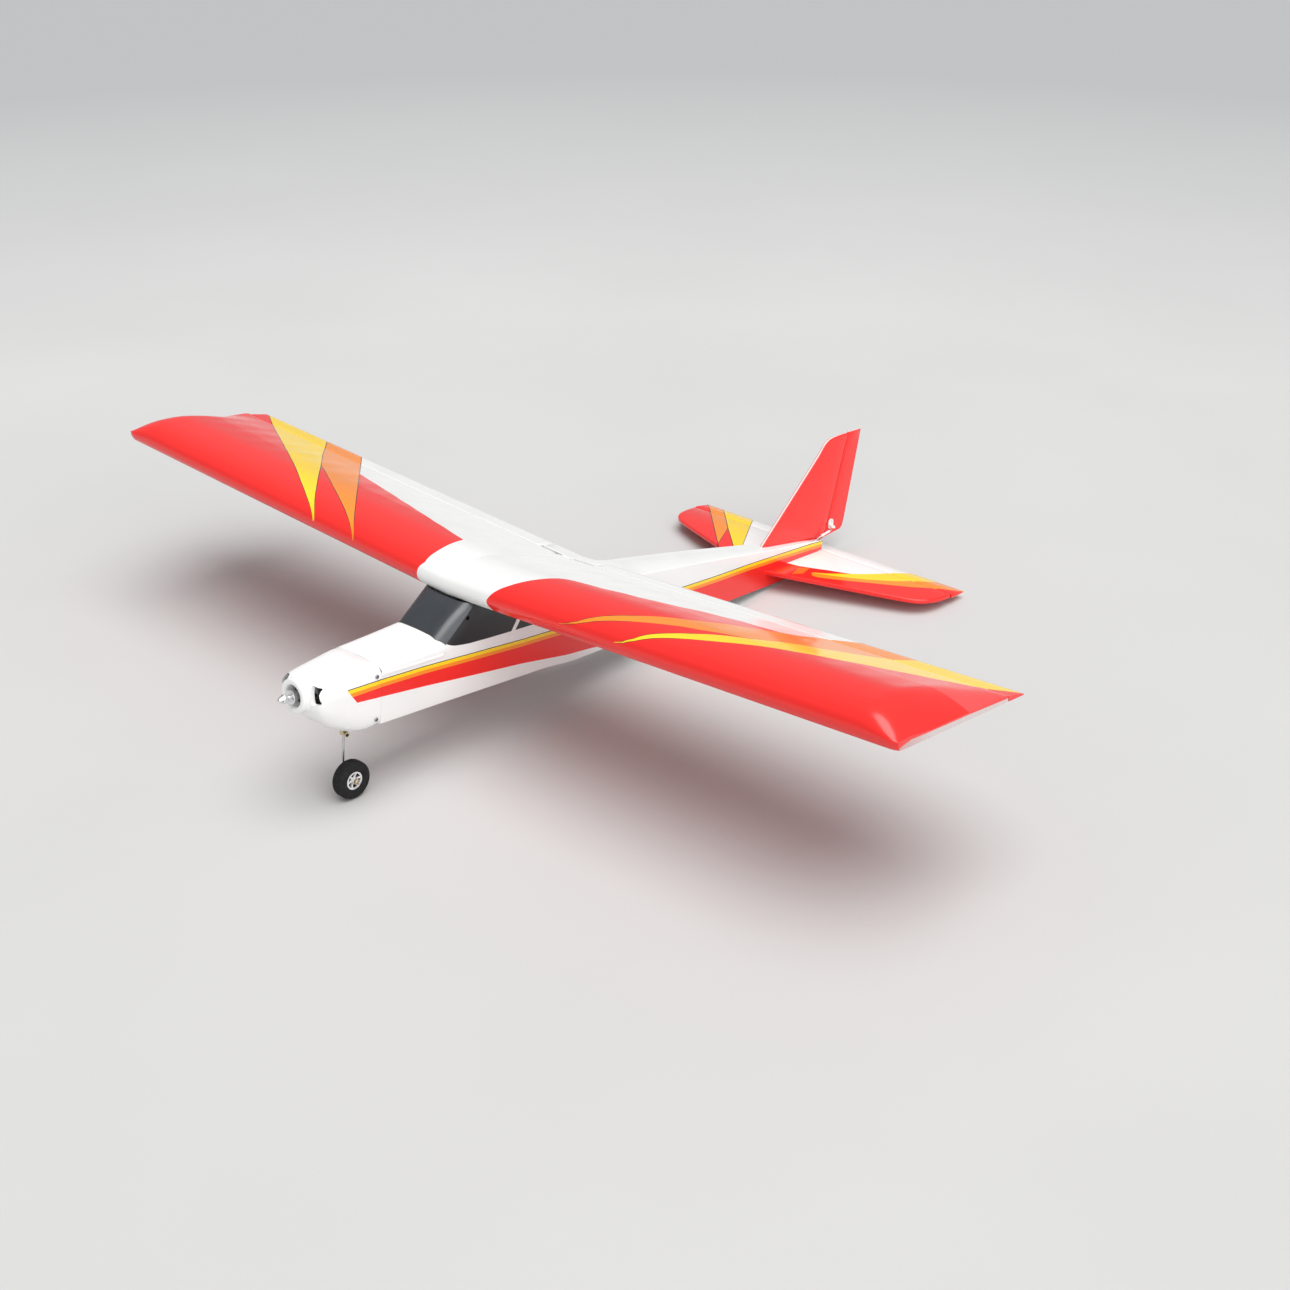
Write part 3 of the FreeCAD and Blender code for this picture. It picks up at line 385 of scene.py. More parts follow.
def tail_film(name):
    k = NT(name)
    _, x, y, z = k.pos()
    ax = k.m("ABSOLUTE", x)
    port = k.gt(x, 0.0)
    p = {q: k.curve(ax, v, 0, 300, 700, 940) for q, v in STAB_P.items()}
    s = {q: k.curve(ax, v, 0, 300, 700, 940) for q, v in STAB_S.items()}
    cp_ = k.mix(k.gt(y, p["white"]), RED, WHITE)
    cp_ = k.mix(k.both(k.gt(y, p["ol"]), k.lt(y, p["yl"])), cp_, k.mix(k.lt(ax, 70.0), ORANGE, (0.80, 0.15, 0.018)))
    cp_ = k.mix(k.both(k.gt(y, p["yl"]), k.lt(y, p["yu"])), cp_, YELLOW)
    cs = k.mix(k.gt(y, s["white"]), RED, WHITE)
    cs = k.mix(k.both(k.gt(y, s["ol"]), k.lt(y, s["ou"])), cs, ORANGE)
    cs = k.mix(k.both(k.gt(y, s["oy"]), k.lt(y, s["white"])), cs, YELLOW)
    ink = None
    for q in ("white", "ou", "oy", "ol"):
        one = k.lt(k.m("ABSOLUTE", k.m("SUBTRACT", y, s[q])), 1.0)
        ink = one if ink is None else k.either(ink, one)
    cs = k.mix(ink, cs, INK)
    col = k.mix(port, cs, cp_)
    # painted shade: a dark line along the elevator hinge gap
    hinge = k.both(k.both(k.gt(y, 884.9), k.lt(y, 887.6)), k.gt(z, -116.0))
    col = k.mix(k.m("MULTIPLY", hinge, 0.30), col, (0.06, 0.03, 0.03))
    col = k.mix(k.lt(z, -119.6), col, RED)
    film_finish(k, col, 0.17, 0.7)
    return k.mat


def mono_film(name, colour, wrinkle=0.8):
    k = NT(name)
    film_finish(k, colour, 0.17, wrinkle)
    return k.mat


def plastic_cowl():
    k = NT("cowl_plastic")
    col = stripes(k, (0.87, 0.87, 0.865))
    k.set(colour=k.shade(col, 0.015, 0.02), spec=0.5, coat=0.25, coat_rough=0.12)
    k.set(rough=k.span(k.noise(0.03, 4.0, 0.5), 0.3, 0.7, 0.19, 0.28))
    k.bump(k.m("MULTIPLY_ADD", k.noise(0.03, 1.5), 0.4, k.m("MULTIPLY", k.noise(0.8, 2.0), 0.004)), 0.0004, 0.35)
    return k.mat


M = {}
M["wing_port"] = wing_film("wing_film_port", WING_P)
M["wing_starboard"] = wing_film("wing_film_starboard", WING_S)
M["body"] = body_film("body_film")
M["tail"] = tail_film("tail_film")
M["red"] = mono_film("red_film", RED)
M["white"] = mono_film("white_film", WHITE)
k = NT("end_rib_film")
_, k_x, k_y, k_z = k.pos()
k_h = k.m("SUBTRACT", k.m("MULTIPLY_ADD", k_y, INC, k_z), k.m("MULTIPLY", k.m("ABSOLUTE", k_x), DIH))
k_h = k.m("SUBTRACT", k_h, k.curve(k_y, [(0, 3.0), (8, 5.5), (25, 9.2), (60, 8.4), (150, 7.6), (240, 5.5)], 0, 240, 0, 20))
# painted shade: the end rib's pale film is painted a greyish pink, darker and redder towards the leading edge
k_end_painted_shade = k.mix(k.span(k_y, 0.0, 70.0, 0.0, 1.0), (0.62, 0.34, 0.33), (0.66, 0.56, 0.55))
# the red film of the top is wrapped over the upper part of the end rib
film_finish(k, k.mix(k.span(k_h, -0.5, 0.5, 0.0, 1.0), k_end_painted_shade, RED), 0.22, 0.3)
M["edge"] = k.mat
M["cowl"] = plastic_cowl()
M["abs_white"] = plain("white_formed_plastic", (0.87, 0.87, 0.865), 0.25, amount=0.012, scale=0.02, grain=0.05, depth=0.00022, coat=0.25)
k = NT("black_formed_plastic")
k.set(colour=k.shade((0.019, 0.024, 0.031), 0.12, 0.03), spec=0.6, coat=0.7, coat_rough=0.24)
k.set(rough=k.span(k.noise(0.04, 4.0, 0.6), 0.3, 0.75, 0.24, 0.36))
k.bump(k.m("MULTIPLY_ADD", k.noise(0.03, 2.0), 0.5, k.m("MULTIPLY", k.noise(1.0, 2.0), 0.015)), 0.0008, 0.35)
M["abs_black"] = k.mat
M["ply"] = wood("light_ply", (0.62, 0.42, 0.22), (0.42, 0.26, 0.12), axis=(0.03, 0.02, 0.02))
M["balsa"] = wood("balsa_wood", (0.78, 0.62, 0.40), (0.62, 0.46, 0.27), axis=(0.012, 0.25, 0.25))
M["steel"] = brushed("music_wire", (0.56, 0.56, 0.57), axis=(0.5, 0.5, 0.06), rough=0.26)
M["alu"] = brushed("turned_aluminium", (0.80, 0.80, 0.81), axis=(0.1, 1.6, 0.1), rough=0.24)
M["brass"] = brushed("plated_brass", (0.66, 0.56, 0.38), axis=(0.8, 0.3, 0.8), rough=0.3)
M["can"] = brushed("motor_can_metal", (0.33, 0.33, 0.35), axis=(0.1, 1.2, 0.1), rough=0.33)
M["copper"] = brushed("enamelled_copper", (0.62, 0.26, 0.10), axis=(1.4, 0.1, 1.4), rough=0.32)
M["case"] = plain("moulded_black_case", (0.028, 0.028, 0.031), 0.48, amount=0.15, scale=0.15, grain=1.6, depth=0.00008)
M["nylon"] = plain("moulded_nylon", (0.80, 0.80, 0.77), 0.45, amount=0.03, scale=0.1, grain=1.2, depth=0.00004)
M["wrap"] = plain("battery_shrink_wrap", (0.035, 0.10, 0.34), 0.3, amount=0.12, scale=0.06, grain=0.25, depth=0.0003, coat=0.2)
M["hub"] = plain("painted_hub", (0.80, 0.805, 0.81), 0.34, metal=0.15, amount=0.05, scale=0.15, grain=1.5, depth=0.00004)
k = NT("foam_tyre_rubber")
cell = k.n("ShaderNodeTexVoronoi")
k.l(k.pos()[0], cell.inputs["Vector"])
cell.inputs["Scale"].default_value = 1.1
dust = k.span(k.noise(0.12, 4.0, 0.6), 0.5, 0.8, 0.0, 0.45)
k.set(colour=k.mix(dust, (0.013, 0.013, 0.014), (0.045, 0.042, 0.038)), spec=0.25)
k.set(rough=k.span(k.noise(0.3, 3.0), 0.3, 0.7, 0.72, 0.92))
k.bump(k.m("MULTIPLY_ADD", k.noise(1.6, 4.0, 0.6), 0.7, k.m("MULTIPLY", cell.outputs["Distance"], 0.5)), 0.00035, 0.8)
M["tyre"] = k.mat
M["screw"] = brushed("dark_screw_steel", (0.30, 0.30, 0.31), axis=(0.2, 1.5, 1.5), rough=0.3)
k = NT("fin_edge_film")
k_x = k.m("ABSOLUTE", k.pos()[1])
film_finish(k, k.mix(k.lt(k_x, 1.45), RED, (0.86, 0.72, 0.70)), 0.2, 0.3)
M["fin_edge"] = k.mat
k = NT("light_ply_black_top")
_base = k.noise(1.0, 4.0, 0.6, vec=k.stretch(0.03, 0.02, 0.02), dist=1.2)
_c = k.mix(k.span(_base, 0.36, 0.64, 0.0, 1.0), (0.62, 0.42, 0.22), (0.42, 0.26, 0.12))
k.set(colour=k.mix(k.gt(k.pos()[3], -34.0), _c, (0.012, 0.013, 0.015)), spec=0.3)
k.set(rough=k.span(_base, 0.3, 0.7, 0.5, 0.66))
M["ply_black"] = k.mat


# ------------------------------------------------------------------ mesh kit
def finish_mesh(ob, angle=38.0):
    """Apply modifiers, then smooth shading with sharp edges above the angle."""
    if ob.modifiers:
        dg = bpy.context.evaluated_depsgraph_get()
        me = bpy.data.meshes.new_from_object(ob.evaluated_get(dg))
        ob.modifiers.clear()
        ob.data = me
    ob.data.shade_smooth()
    ob.data.set_sharp_from_angle(angle=math.radians(angle))
    return ob


def raw(name, verts, faces, mats, mi=None, weld=1e-6, flip=True):
    me = bpy.data.meshes.new(name)
    me.from_pydata([tuple(v) for v in row(verts)], [], [tuple(f) for f in faces])
    for m in mats:
        me.materials.append(m)
    if mi is not None:
        for p, i in zip(me.polygons, mi):
            p.material_index = i
    bm = bmesh.new()
    bm.from_mesh(me)
    if weld:
        bmesh.ops.remove_doubles(bm, verts=bm.verts, dist=weld)
    if flip:
        bmesh.ops.recalc_face_normals(bm, faces=bm.faces)
    bm.to_mesh(me)
    bm.free()
    ob = bpy.data.objects.new(name, me)
    bpy.context.scene.collection.objects.link(ob)
    return ob


def bevel(ob, w, seg=3, angle=30):
    md = ob.modifiers.new("bevel", "BEVEL")
    md.width = w / 1000.0
    md.segments = seg
    md.limit_method = "ANGLE"
    md.angle_limit = math.radians(angle)
    md.harden_normals = False
    return ob


def cutter(obs):
    """One hidden object for a boolean, made of several closed meshes."""
    bm = bmesh.new()
    for o in obs:
        bm.from_mesh(o.data)
        bpy.data.objects.remove(o)
    me = bpy.data.meshes.new("cutter")
    bm.to_mesh(me)
    bm.free()
    ob = bpy.data.objects.new("cutter", me)
    bpy.context.scene.collection.objects.link(ob)
    return ob


def subtract(ob, tools):
    c = cutter(tools)
    md = ob.modifiers.new("cut", "BOOLEAN")
    md.operation = "DIFFERENCE"
    md.solver = "EXACT"
    md.object = c
    bpy.context.view_layer.update()
    dg = bpy.context.evaluated_depsgraph_get()
    me = bpy.data.meshes.new_from_object(ob.evaluated_get(dg))
    ob.modifiers.clear()
    ob.data = me
    bpy.data.objects.remove(c)
    return ob


def place(ob, body, slot, *nodes):
    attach(ob, body)
    if nodes:
        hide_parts(*nodes)
    return ob


def box_faces():
    return [(0, 1, 2, 3), (7, 6, 5, 4), (0, 4, 5, 1), (1, 5, 6, 2), (2, 6, 7, 3), (3, 7, 4, 0)]


def box_mesh(name, x0, y0, z0, x1, y1, z1, mats=()):
    v = [(x0, y0, z0), (x1, y0, z0), (x1, y1, z0), (x0, y1, z0), (x0, y0, z1), (x1, y0, z1), (x1, y1, z1), (x0, y1, z1)]
    return raw(name, v, box_faces(), mats)


def frame_for(axis):
    a = np.array(axis, float)
    a /= np.linalg.norm(a)
    u = np.cross(a, (0, 0, 1) if abs(a[2]) < 0.9 else (1, 0, 0))
    u /= np.linalg.norm(u)
    return a, u, np.cross(a, u)


def lathe(name, profile, origin, axis, mats, n=48, closed=False):
    """Surface of revolution. profile is (distance along axis, radius); ends on the axis close it."""
    a, u, v = frame_for(axis)
    o = np.array(origin, float)
    verts, faces = [], []
    for s, r in profile:
        for i in range(n):
            t = 2 * math.pi * i / n
            verts.append(o + a * s + (u * math.cos(t) + v * math.sin(t)) * r)
    m = len(profile)
    for j in range(m - 1 + (1 if closed else 0)):
        for i in range(n):
            p, q = j * n, ((j + 1) % m) * n
            faces.append((p + i, p + (i + 1) % n, q + (i + 1) % n, q + i))
    if not closed:
        for j in (0, m - 1):
            if profile[j][1] > 1e-6:
                faces.append(tuple(j * n + i for i in range(n)))
    ob = raw(name, verts, faces, mats)
    bm = bmesh.new()
    bm.from_mesh(ob.data)
    bad = [f for f in bm.faces if f.calc_area() < 1e-14]
    if bad:
        bmesh.ops.delete(bm, geom=bad, context="FACES_ONLY")
    bmesh.ops.recalc_face_normals(bm, faces=bm.faces)
    bm.to_mesh(ob.data)
    bm.free()
    return ob


def tube(name, path, r, mats, n=20, caps=True):
    """Round rod along a path of points, with domed ends."""
    p = [np.array(q, float) for q in path]
    tang = [(p[min(i + 1, len(p) - 1)] - p[max(i - 1, 0)]) for i in range(len(p))]
    tang = [t / np.linalg.norm(t) for t in tang]
    _, u, _ = frame_for(tang[0])
    verts, faces, rings = [], [], []
    seq = []
    for k in range(3):
        th = math.pi / 2 * k / 3
        seq.append((p[0] - tang[0] * r * 0.5 * math.cos(th), tang[0], r * math.sin(th) if k else r * 0.25))
    for q, t in zip(p, tang):
        seq.append((q, t, r))
    for k in (2, 1, 0):
        th = math.pi / 2 * k / 3
        seq.append((p[-1] + tang[-1] * r * 0.5 * math.cos(th), tang[-1], r * math.sin(th) if k else r * 0.25))
    for q, t, rr in seq:
        u = u - t * np.dot(u, t)
        u /= np.linalg.norm(u)
        w = np.cross(t, u)
        rings.append(len(verts))
        for i in range(n):
            a = 2 * math.pi * i / n
            verts.append(q + (u * math.cos(a) + w * math.sin(a)) * rr)
    for a, b in zip(rings, rings[1:]):
        for i in range(n):
            faces.append((a + i, a + (i + 1) % n, b + (i + 1) % n, b + i))
    faces.append(tuple(rings[0] + i for i in range(n)))
    faces.append(tuple(rings[-1] + i for i in range(n)))
    return raw(name, verts, faces, mats)


def rounded(path, rad, seg=6):
    """A polyline with each corner turned into an arc-like bend."""
    p = [np.array(q, float) for q in path]
    out = [p[0]]
    for a, b, c in zip(p, p[1:], p[2:]):
        d0, d1 = a - b, c - b
        l = min(rad, np.linalg.norm(d0) * 0.48, np.linalg.norm(d1) * 0.48)
        s, e = b + d0 / np.linalg.norm(d0) * l, b + d1 / np.linalg.norm(d1) * l
        for k in range(seg + 1):
            t = k / seg
            out.append(s * (1 - t) ** 2 + b * 2 * t * (1 - t) + e * t * t)
    out.append(p[-1])
    return out


def densify(path, step):
    out = [np.array(path[0], float)]
    for a, b in zip(path, path[1:]):
        a, b = np.array(a, float), np.array(b, float)
        n = max(1, int(np.linalg.norm(b - a) / step))
        for i in range(1, n + 1):
            out.append(a + (b - a) * i / n)
    return out


def grid(nu, nv, wrap_v=False, base=0):
    f = []
    for i in range(nu - 1):
        for j in range(nv if wrap_v else nv - 1):
            a, b = base + i * nv + j, base + i * nv + (j + 1) % nv
            f.append((a, b, b + nv, a + nv))
    return f


def extrude_outline(name, outline, t0, t1, plane, mats):
    """Flat sheet from a 2-D outline. plane 'xy' extrudes in z, 'yz' in x, 'xz' in y."""
    put = {"xy": lambda a, b, c: (a, b, c), "yz": lambda a, b, c: (c, a, b), "xz": lambda a, b, c: (a, c, b)}[plane]
    n = len(outline)
    v = [put(a, b, t0) for a, b in outline] + [put(a, b, t1) for a, b in outline]
    f = [tuple(range(n)), tuple(range(2 * n - 1, n - 1, -1))] + [(i, (i + 1) % n, n + (i + 1) % n, n + i) for i in range(n)]
    return raw(name, v, f, mats)


def smooth_outline(pts, it=2, closed=True, keep=()):
    """Corner-cutting of a closed outline, apart from the corners in keep."""
    p = [tuple(map(float, q)) for q in pts]
    kept = [k in keep for k in range(len(p))]
    for _ in range(it):
        out, kk = [], []
        n = len(p)
        for i in range(n):
            a, b, c = np.array(p[i - 1]), np.array(p[i]), np.array(p[(i + 1) % n])
            if kept[i]:
                out.append(tuple(b))
                kk.append(True)
                continue
            la, lc = np.linalg.norm(a - b), np.linalg.norm(c - b)
            ra, rc = min(0.25 * la, 9.0), min(0.25 * lc, 9.0)
            out.append(tuple(b + (a - b) / max(la, 1e-9) * ra))
            out.append(tuple(b + (c - b) / max(lc, 1e-9) * rc))
            kk += [False, False]
        p, kept = out, kk
    return p


def interp(x, tab):
    return float(np.interp(x, [a for a, _ in tab], [b for _, b in tab]))


# ------------------------------------------------------------------ wing
FOIL = [(0.0, 0.0), (-0.012, 0.10), (-0.0185, 0.22), (-0.0185, 0.36), (-0.011, 0.53), (0.006, 0.68), (0.026, 0.79), (0.055, 0.88),
        (0.095, 0.95), (0.145, 0.985), (0.205, 1.0), (0.275, 0.975), (0.38, 0.88), (0.49, 0.745), (0.61, 0.575), (0.74, 0.37), (0.86, 0.195), (1.0, 0.0267)]


def catmull(p, n):
    p = [np.array(q, float) for q in p]
    out = []
    for i in range(len(p) - 1):
        a, b, c, d = p[max(i - 1, 0)], p[i], p[i + 1], p[min(i + 2, len(p) - 1)]
        for k in range(n):
            t = k / n
            out.append(0.5 * ((2 * b) + (c - a) * t + (2 * a - 5 * b + 4 * c - d) * t * t + (3 * b - a - 3 * c + d) * t ** 3))
    out.append(p[-1])
    return out


UP = np.array([(a * 278, b * 45) for a, b in catmull(FOIL, 5)])
TE_Y = 239.4


def foil_z(y):
    k = int(np.argmax(UP[:, 0] > 5))
    return float(np.interp(y, UP[k:, 0], UP[k:, 1]))


def wing_section():
    top = [tuple(q) for q in UP if q[0] < TE_Y - 0.5]
    # slightly rounded lower leading edge
    sec = [(9.0, 0.0), (4.0, 0.05)] + top[0:]
    sec[2] = (0.4, 0.35)
    zt = foil_z(TE_Y)
    sec += [(TE_Y - 0.5, foil_z(TE_Y - 0.5)), (TE_Y, zt - 0.6), (TE_Y, zt * 0.5), (TE_Y, 0.5), (TE_Y - 0.5, 0.0)]
    for y in (225, 205, 180, 150, 120, 90, 60, 34, 20):
        sec.append((float(y), 0.0))
    return sec


RIBS = [0, 70, 125, 180, 235, 290, 345, 400, 455, 510, 565, 620, 672, 725, 775]
TIPX = [704.0, 708, 713, 718, 724, 729, 734, 739, 744, 749, 754, 759, 763.5, 767.5, 771, 773.5, 774.7, 775.0]


def tip_share(x):
    """How far the tip has gone from the full section to the thin end rib."""
    return min(1.0, max(0.0, (x - 714.0) / 61.0)) ** 1.8


def tip_z(x, y, z):
    """Top surface near the tip: curves gently down to a thin lens-shaped end rib."""
    if x <= 714.0 or z <= 0:
        return z
    end = 10.5 + 3.5 * math.exp(-((y - 15.0) / 30.0) ** 2)
    s_ = tip_share(x)
    return z * (1 - s_) + min(z, end) * s_


def tip_y(x, y):
    """The leading edge sweeps back a little at the very tip."""
    t = max(0.0, (x - 757.0) / 18.0)
    return y + 4.0 * t ** 3 * max(0.0, 1 - y / 225.0)


def sag(x, y, top):
    """Film sinks a little between the ribs behind the sheeted leading edge."""
    if x > 725 or x < 62:
        return 0.0
    for a, b in zip(RIBS, RIBS[1:]):
        if a <= x <= b:
            w = math.sin(math.pi * (x - a) / (b - a)) ** 2
            break
    lo, hi = (92.0, 205.0) if top else (60.0, 215.0)
    if y < lo - 14 or y > hi + 14:
        return 0.0
    e = min(1.0, max(0.0, (y - lo + 14) / 28.0)) * min(1.0, max(0.0, (hi + 14 - y) / 28.0))
    e = e * e * (3 - 2 * e)
    return 0.42 * w * e


def wing_skin(name, s, mat):
    sec = wing_section()
    st = [0.0, 0.6] + [float(x) for x in np.arange(12, 703, 8.0)] + TIPX
    n = len(sec)
    v = []
    for x in st:
        for y, z in sec:
            top = z > 3.0
            zz = tip_z(x, y, z)
            zz -= sag(x, y, True) if top else -sag(x, y, False) * (1 if z == 0 else 0)
            v.append((s * x, tip_y(x, y), zz - INC * y + DIH * x))
    faces = grid(len(st), n, wrap_v=True)
    faces.append(tuple(range(n)))
    last = (len(st) - 1) * n
    faces.append(tuple(last + i for i in range(n)))
    ob = raw(name, v, faces, [mat, M["edge"]], [0] * (len(faces) - 1) + [1])
    return finish_mesh(ob, 34)


def aileron(name, s, mat):
    z0 = foil_z(243.5)
    sec = [(239.98, z0 * 0.5), (240.6, z0 * 0.5 + 0.65), (243.0, z0 - 0.95), (243.9, z0 - 0.15), (246, foil_z(246) - 0.1)]
    sec += [(y, foil_z(243.7) - 0.1 + (2.2 - foil_z(243.7) + 0.1) * (y - 243.7) / (278 - 243.7)) for y in (252, 262, 271)]
    sec += [(277.2, 2.2), (277.8, 1.8), (278.0, 1.1), (277.8, 0.4), (277.2, 0.02), (268, 0.0), (255, 0.0), (244.6, 0.0), (243.6, 0.1), (241.8, 2.3), (240.5, 3.8)]
    st = [57.0, 57.5] + list(np.arange(70, 700, 24.0)) + TIPX
    n = len(sec)
    v = []
    for x in st:
        f = 1.0 - 0.08 * tip_share(x)
        e = 0.94 if x in (57.0, 775) else 1.0
        for y, z in sec:
            zc = z0 * 0.45
            v.append((s * x, y, ((z - zc) * e + zc) * f - INC * y + DIH * x if x < 775 else ((z - zc) * e + zc) * f - INC * y + DIH * x))
    faces = grid(len(st), n, wrap_v=True)
    faces.append(tuple(range(n)))
    faces.append(tuple((len(st) - 1) * n + i for i in range(n)))
    return finish_mesh(raw(name, v, faces, [mat]), 34)


for side, s in (("port", 1), ("starboard", -1)):
    ob = wing_skin("wing_skin_" + side, s, M["wing_" + side])
    # bay for the aileron servo and notch for the torque rod, open below and behind
    x0, x1 = sorted((-0.2 * s, 10.6 * s))
    tools = [box_mesh("c1", x0, 175.4, -20, x1, 216.6, 5.5)]
    x0, x1 = sorted((13.4 * s, 21.2 * s))
    tools.append(box_mesh("c2", x0, 233.6, -20, x1, 250, 30))
    subtract(ob, tools)
    finish_mesh(ob, 34)
    place(ob, "wing", "film_red", "wing_panel_" + side, "wing_tip_" + side)
    ob = aileron("strip_aileron_" + side, s, M["wing_" + side])
    place(ob, "aileron_" + side, "film_red", "aileron_" + side)

# fixed trailing edge between the ailerons
tz = foil_z(246)
sec = [(246, 0.5), (246, tz - 0.6), (246.6, tz - 0.05), (256, tz + (2.2 - tz) * (10 / 32)), (268, tz + (2.2 - tz) * (22 / 32)), (277.3, 2.2), (277.9, 1.6), (278, 1.0),
       (277.8, 0.3), (277.2, 0.0), (262, 0.0), (246.6, 0.0)]
v = []
st = [-55.8, -55.2, -30, -12, 0, 12, 30, 55.2, 55.8]
for x in st:
    e = 0.9 if abs(x) > 55.5 else 1.0
    for y, z in sec:
        v.append((x, y, (z - 2.4) * e + 2.4 - INC * y + DIH * abs(x)))
f = grid(len(st), len(sec), wrap_v=True) + [tuple(range(len(sec))), tuple((len(st) - 1) * len(sec) + i for i in range(len(sec)))]
ob = raw("centre_trailing_edge", v, f, [M["white"]])
web = box_mesh("web", -12, TE_Y + 0.05, 0.4 - INC * 243, 12, 247.5, tz - 0.8 - INC * 243, [M["white"]])
bm = bmesh.new()
bm.from_mesh(ob.data)
bm.from_mesh(web.data)
bm.to_mesh(ob.data)
bm.free()
bpy.data.objects.remove(web)
finish_mesh(ob, 34)
place(ob, "wing", "film_white", "wing_centre_te")


# ------------------------------------------------------------------ fuselage
HW = [(-170, 50), (200, 50), (626, 26), (900, 10)]
BOT = [(-158, -138), (160, -138), (220, -142), (626, -144), (783, -144), (854, -123.7), (862, -121.4), (868, -117.4), (873, -115.4), (877, -112.8), (886, -112.7)]
SIDETOP = [(-158, -62.3), (-50, -62.3), (-42.9, -47.75), (10.2, 1.83), (279, -0.9), (290, -8.3)]


def tub():
    """Open-topped cabin and nose box: sides and bottom with rounded lower corners."""
    ys = sorted(set([-161.7, -161.3, -158, -150, -130, -110, -90, -70, -56, -50, -48, -45, -42.9, -38, -30, -20, -10, 0, 6, 10.2, 20, 50, 80, 110, 140, 160, 175, 190, 200, 205,
                     220, 235, 250, 265, 279, 284, 290]))
    v, faces, mi = [], [], []
    loops = []
    for y in ys:
        lap = float(np.interp(y, [-162, -120, -62], [0.16, 0.16, 0.0]))
        h, b, t = interp(y, HW) + lap, interp(y, BOT) - lap, interp(y, SIDETOP)
        r = 2.4
        half = [(h - 3.0, t), (h - 0.7, t), (h - 0.2, t - 0.25), (h, t - 0.8)]
        for q in (0.2, 0.4, 0.6, 0.8):
            half.append((h, t - 0.8 + (b + r - t + 0.8) * q))
        half.append((h, b + r))
        for q in range(1, 5):
            a = math.pi / 2 * q / 4
            half.append((h - r + r * math.cos(a), b + r - r * math.sin(a)))
        half.append((h * 0.5, b))
        outer = half + [(0.0, b)] + [(-x, z) for x, z in reversed(half)]
        inn = [(h - 3.0, b + 2.5), (h * 0.5, b + 2.5)]
        inner = inn + [(0.0, b + 2.5)] + [(-x, z) for x, z in reversed(inn)]
        loop = outer + list(reversed(inner))
        loops.append(len(loop))
        v += [(x, y, z) for x, z in loop]
    n = loops[0]
    no = 2 * 14 + 1
    for i in range(len(ys) - 1):
        for j in range(n):
            a, b_ = i * n + j, i * n + (j + 1) % n
            faces.append((a, b_, b_ + n, a + n))
            mi.append(0 if j < no - 1 else 1)
    # end faces: one strip of quads cannot follow the U, so use an n-gon each
    faces.append(tuple(range(n)))
    mi.append(0)
    faces.append(tuple((len(ys) - 1) * n + i for i in range(n)))
    mi.append(1)
    return raw("cabin_shell", v, faces, [M["body"], M["balsa"]], mi)


def boom():
    """Closed tapering rear fuselage with a flat top deck, as a hollow shell."""
    ys = sorted(set([290, 296, 304, 313, 322, 330, 345, 370, 400, 430, 466, 503, 540, 596, 626, 660, 700, 735, 760, 783, 800, 816, 835, 848, 854, 862, 868, 873, 877, 881, 884.5, 886]))
    v, faces, mi = [], [], []
    for y in ys:
        h, b, t = interp(y, HW), interp(y, BOT), interp(y, DECK)
        k_ = 0.5 if y == 886 else 0.0
        h, b, t = h - k_, b + k_, t - k_
        rt, rb = 1.3, min(2.4, (t - b) * 0.2)
        out = []
        for cx, cz, r, a0 in ((h - rt, t - rt, rt, 90), (h - rb, b + rb, rb, 0)):
            for q in range(5):
                a = math.radians(a0 - 90 * q / 4)
                out.append((cx + r * math.cos(a), cz + r * math.sin(a)))
        out.append((0.0, b))
        out = [(0.0, t)] + out
        full = out + [(-x, z) for x, z in reversed(out[1:-1])]
        v += [(x, y, z) for x, z in full]
    n = 22
    assert len(v) == n * len(ys), (len(v), n, len(ys))
    faces = grid(len(ys), n, wrap_v=True)
    mi = [0] * len(faces)
    last = (len(ys) - 1) * n
    faces.append(tuple(last + i for i in range(n)))
    mi.append(0)
    base = len(v)
    # inner skin, visible through the former behind the cabin
    yi = [y for y in ys if y <= 854]
    for y in yi:
        h, b, t = interp(y, HW) - 3.0, interp(y, BOT) + 2.5, interp(y, DECK) - 2.5
        ring = [(h, t), (h, b), (-h, b), (-h, t)]
        v += [(x, y, z) for x, z in ring]
    faces_i = grid(len(yi), 4, wrap_v=True, base=base)
    faces += faces_i
    mi += [1] * len(faces_i)
    faces.append(tuple(base + (len(yi) - 1) * 4 + i for i in range(4)))
    mi.append(1)
    # front rim: join outer ring (22) with inner ring (4)
    o = list(range(n))
    i0 = [base + q for q in range(4)]
    # outer order: 0 top centre, 1..5 top-right corner, 6..10 bottom-right, 11 bottom centre, then mirrored
    faces += [tuple([o[0], o[1], o[2], o[3], i0[0]]), tuple([o[3], o[4], o[5], o[6], o[7], o[8], i0[1], i0[0]]), tuple([o[8], o[9], o[10], o[11], i0[1]]),
              tuple([o[11], o[12], o[13], o[14], i0[2]]), tuple([o[14], o[15], o[16], o[17], o[18], o[19], i0[3], i0[2]]), tuple([o[19], o[20], o[21], o[0], i0[3]]),
              tuple([o[11], i0[2], i0[1]]), tuple([o[0], i0[0], i0[3]])]
    mi += [0] * 8
    return raw("rear_fuselage", v, faces, [M["body"], M["balsa"]], mi)


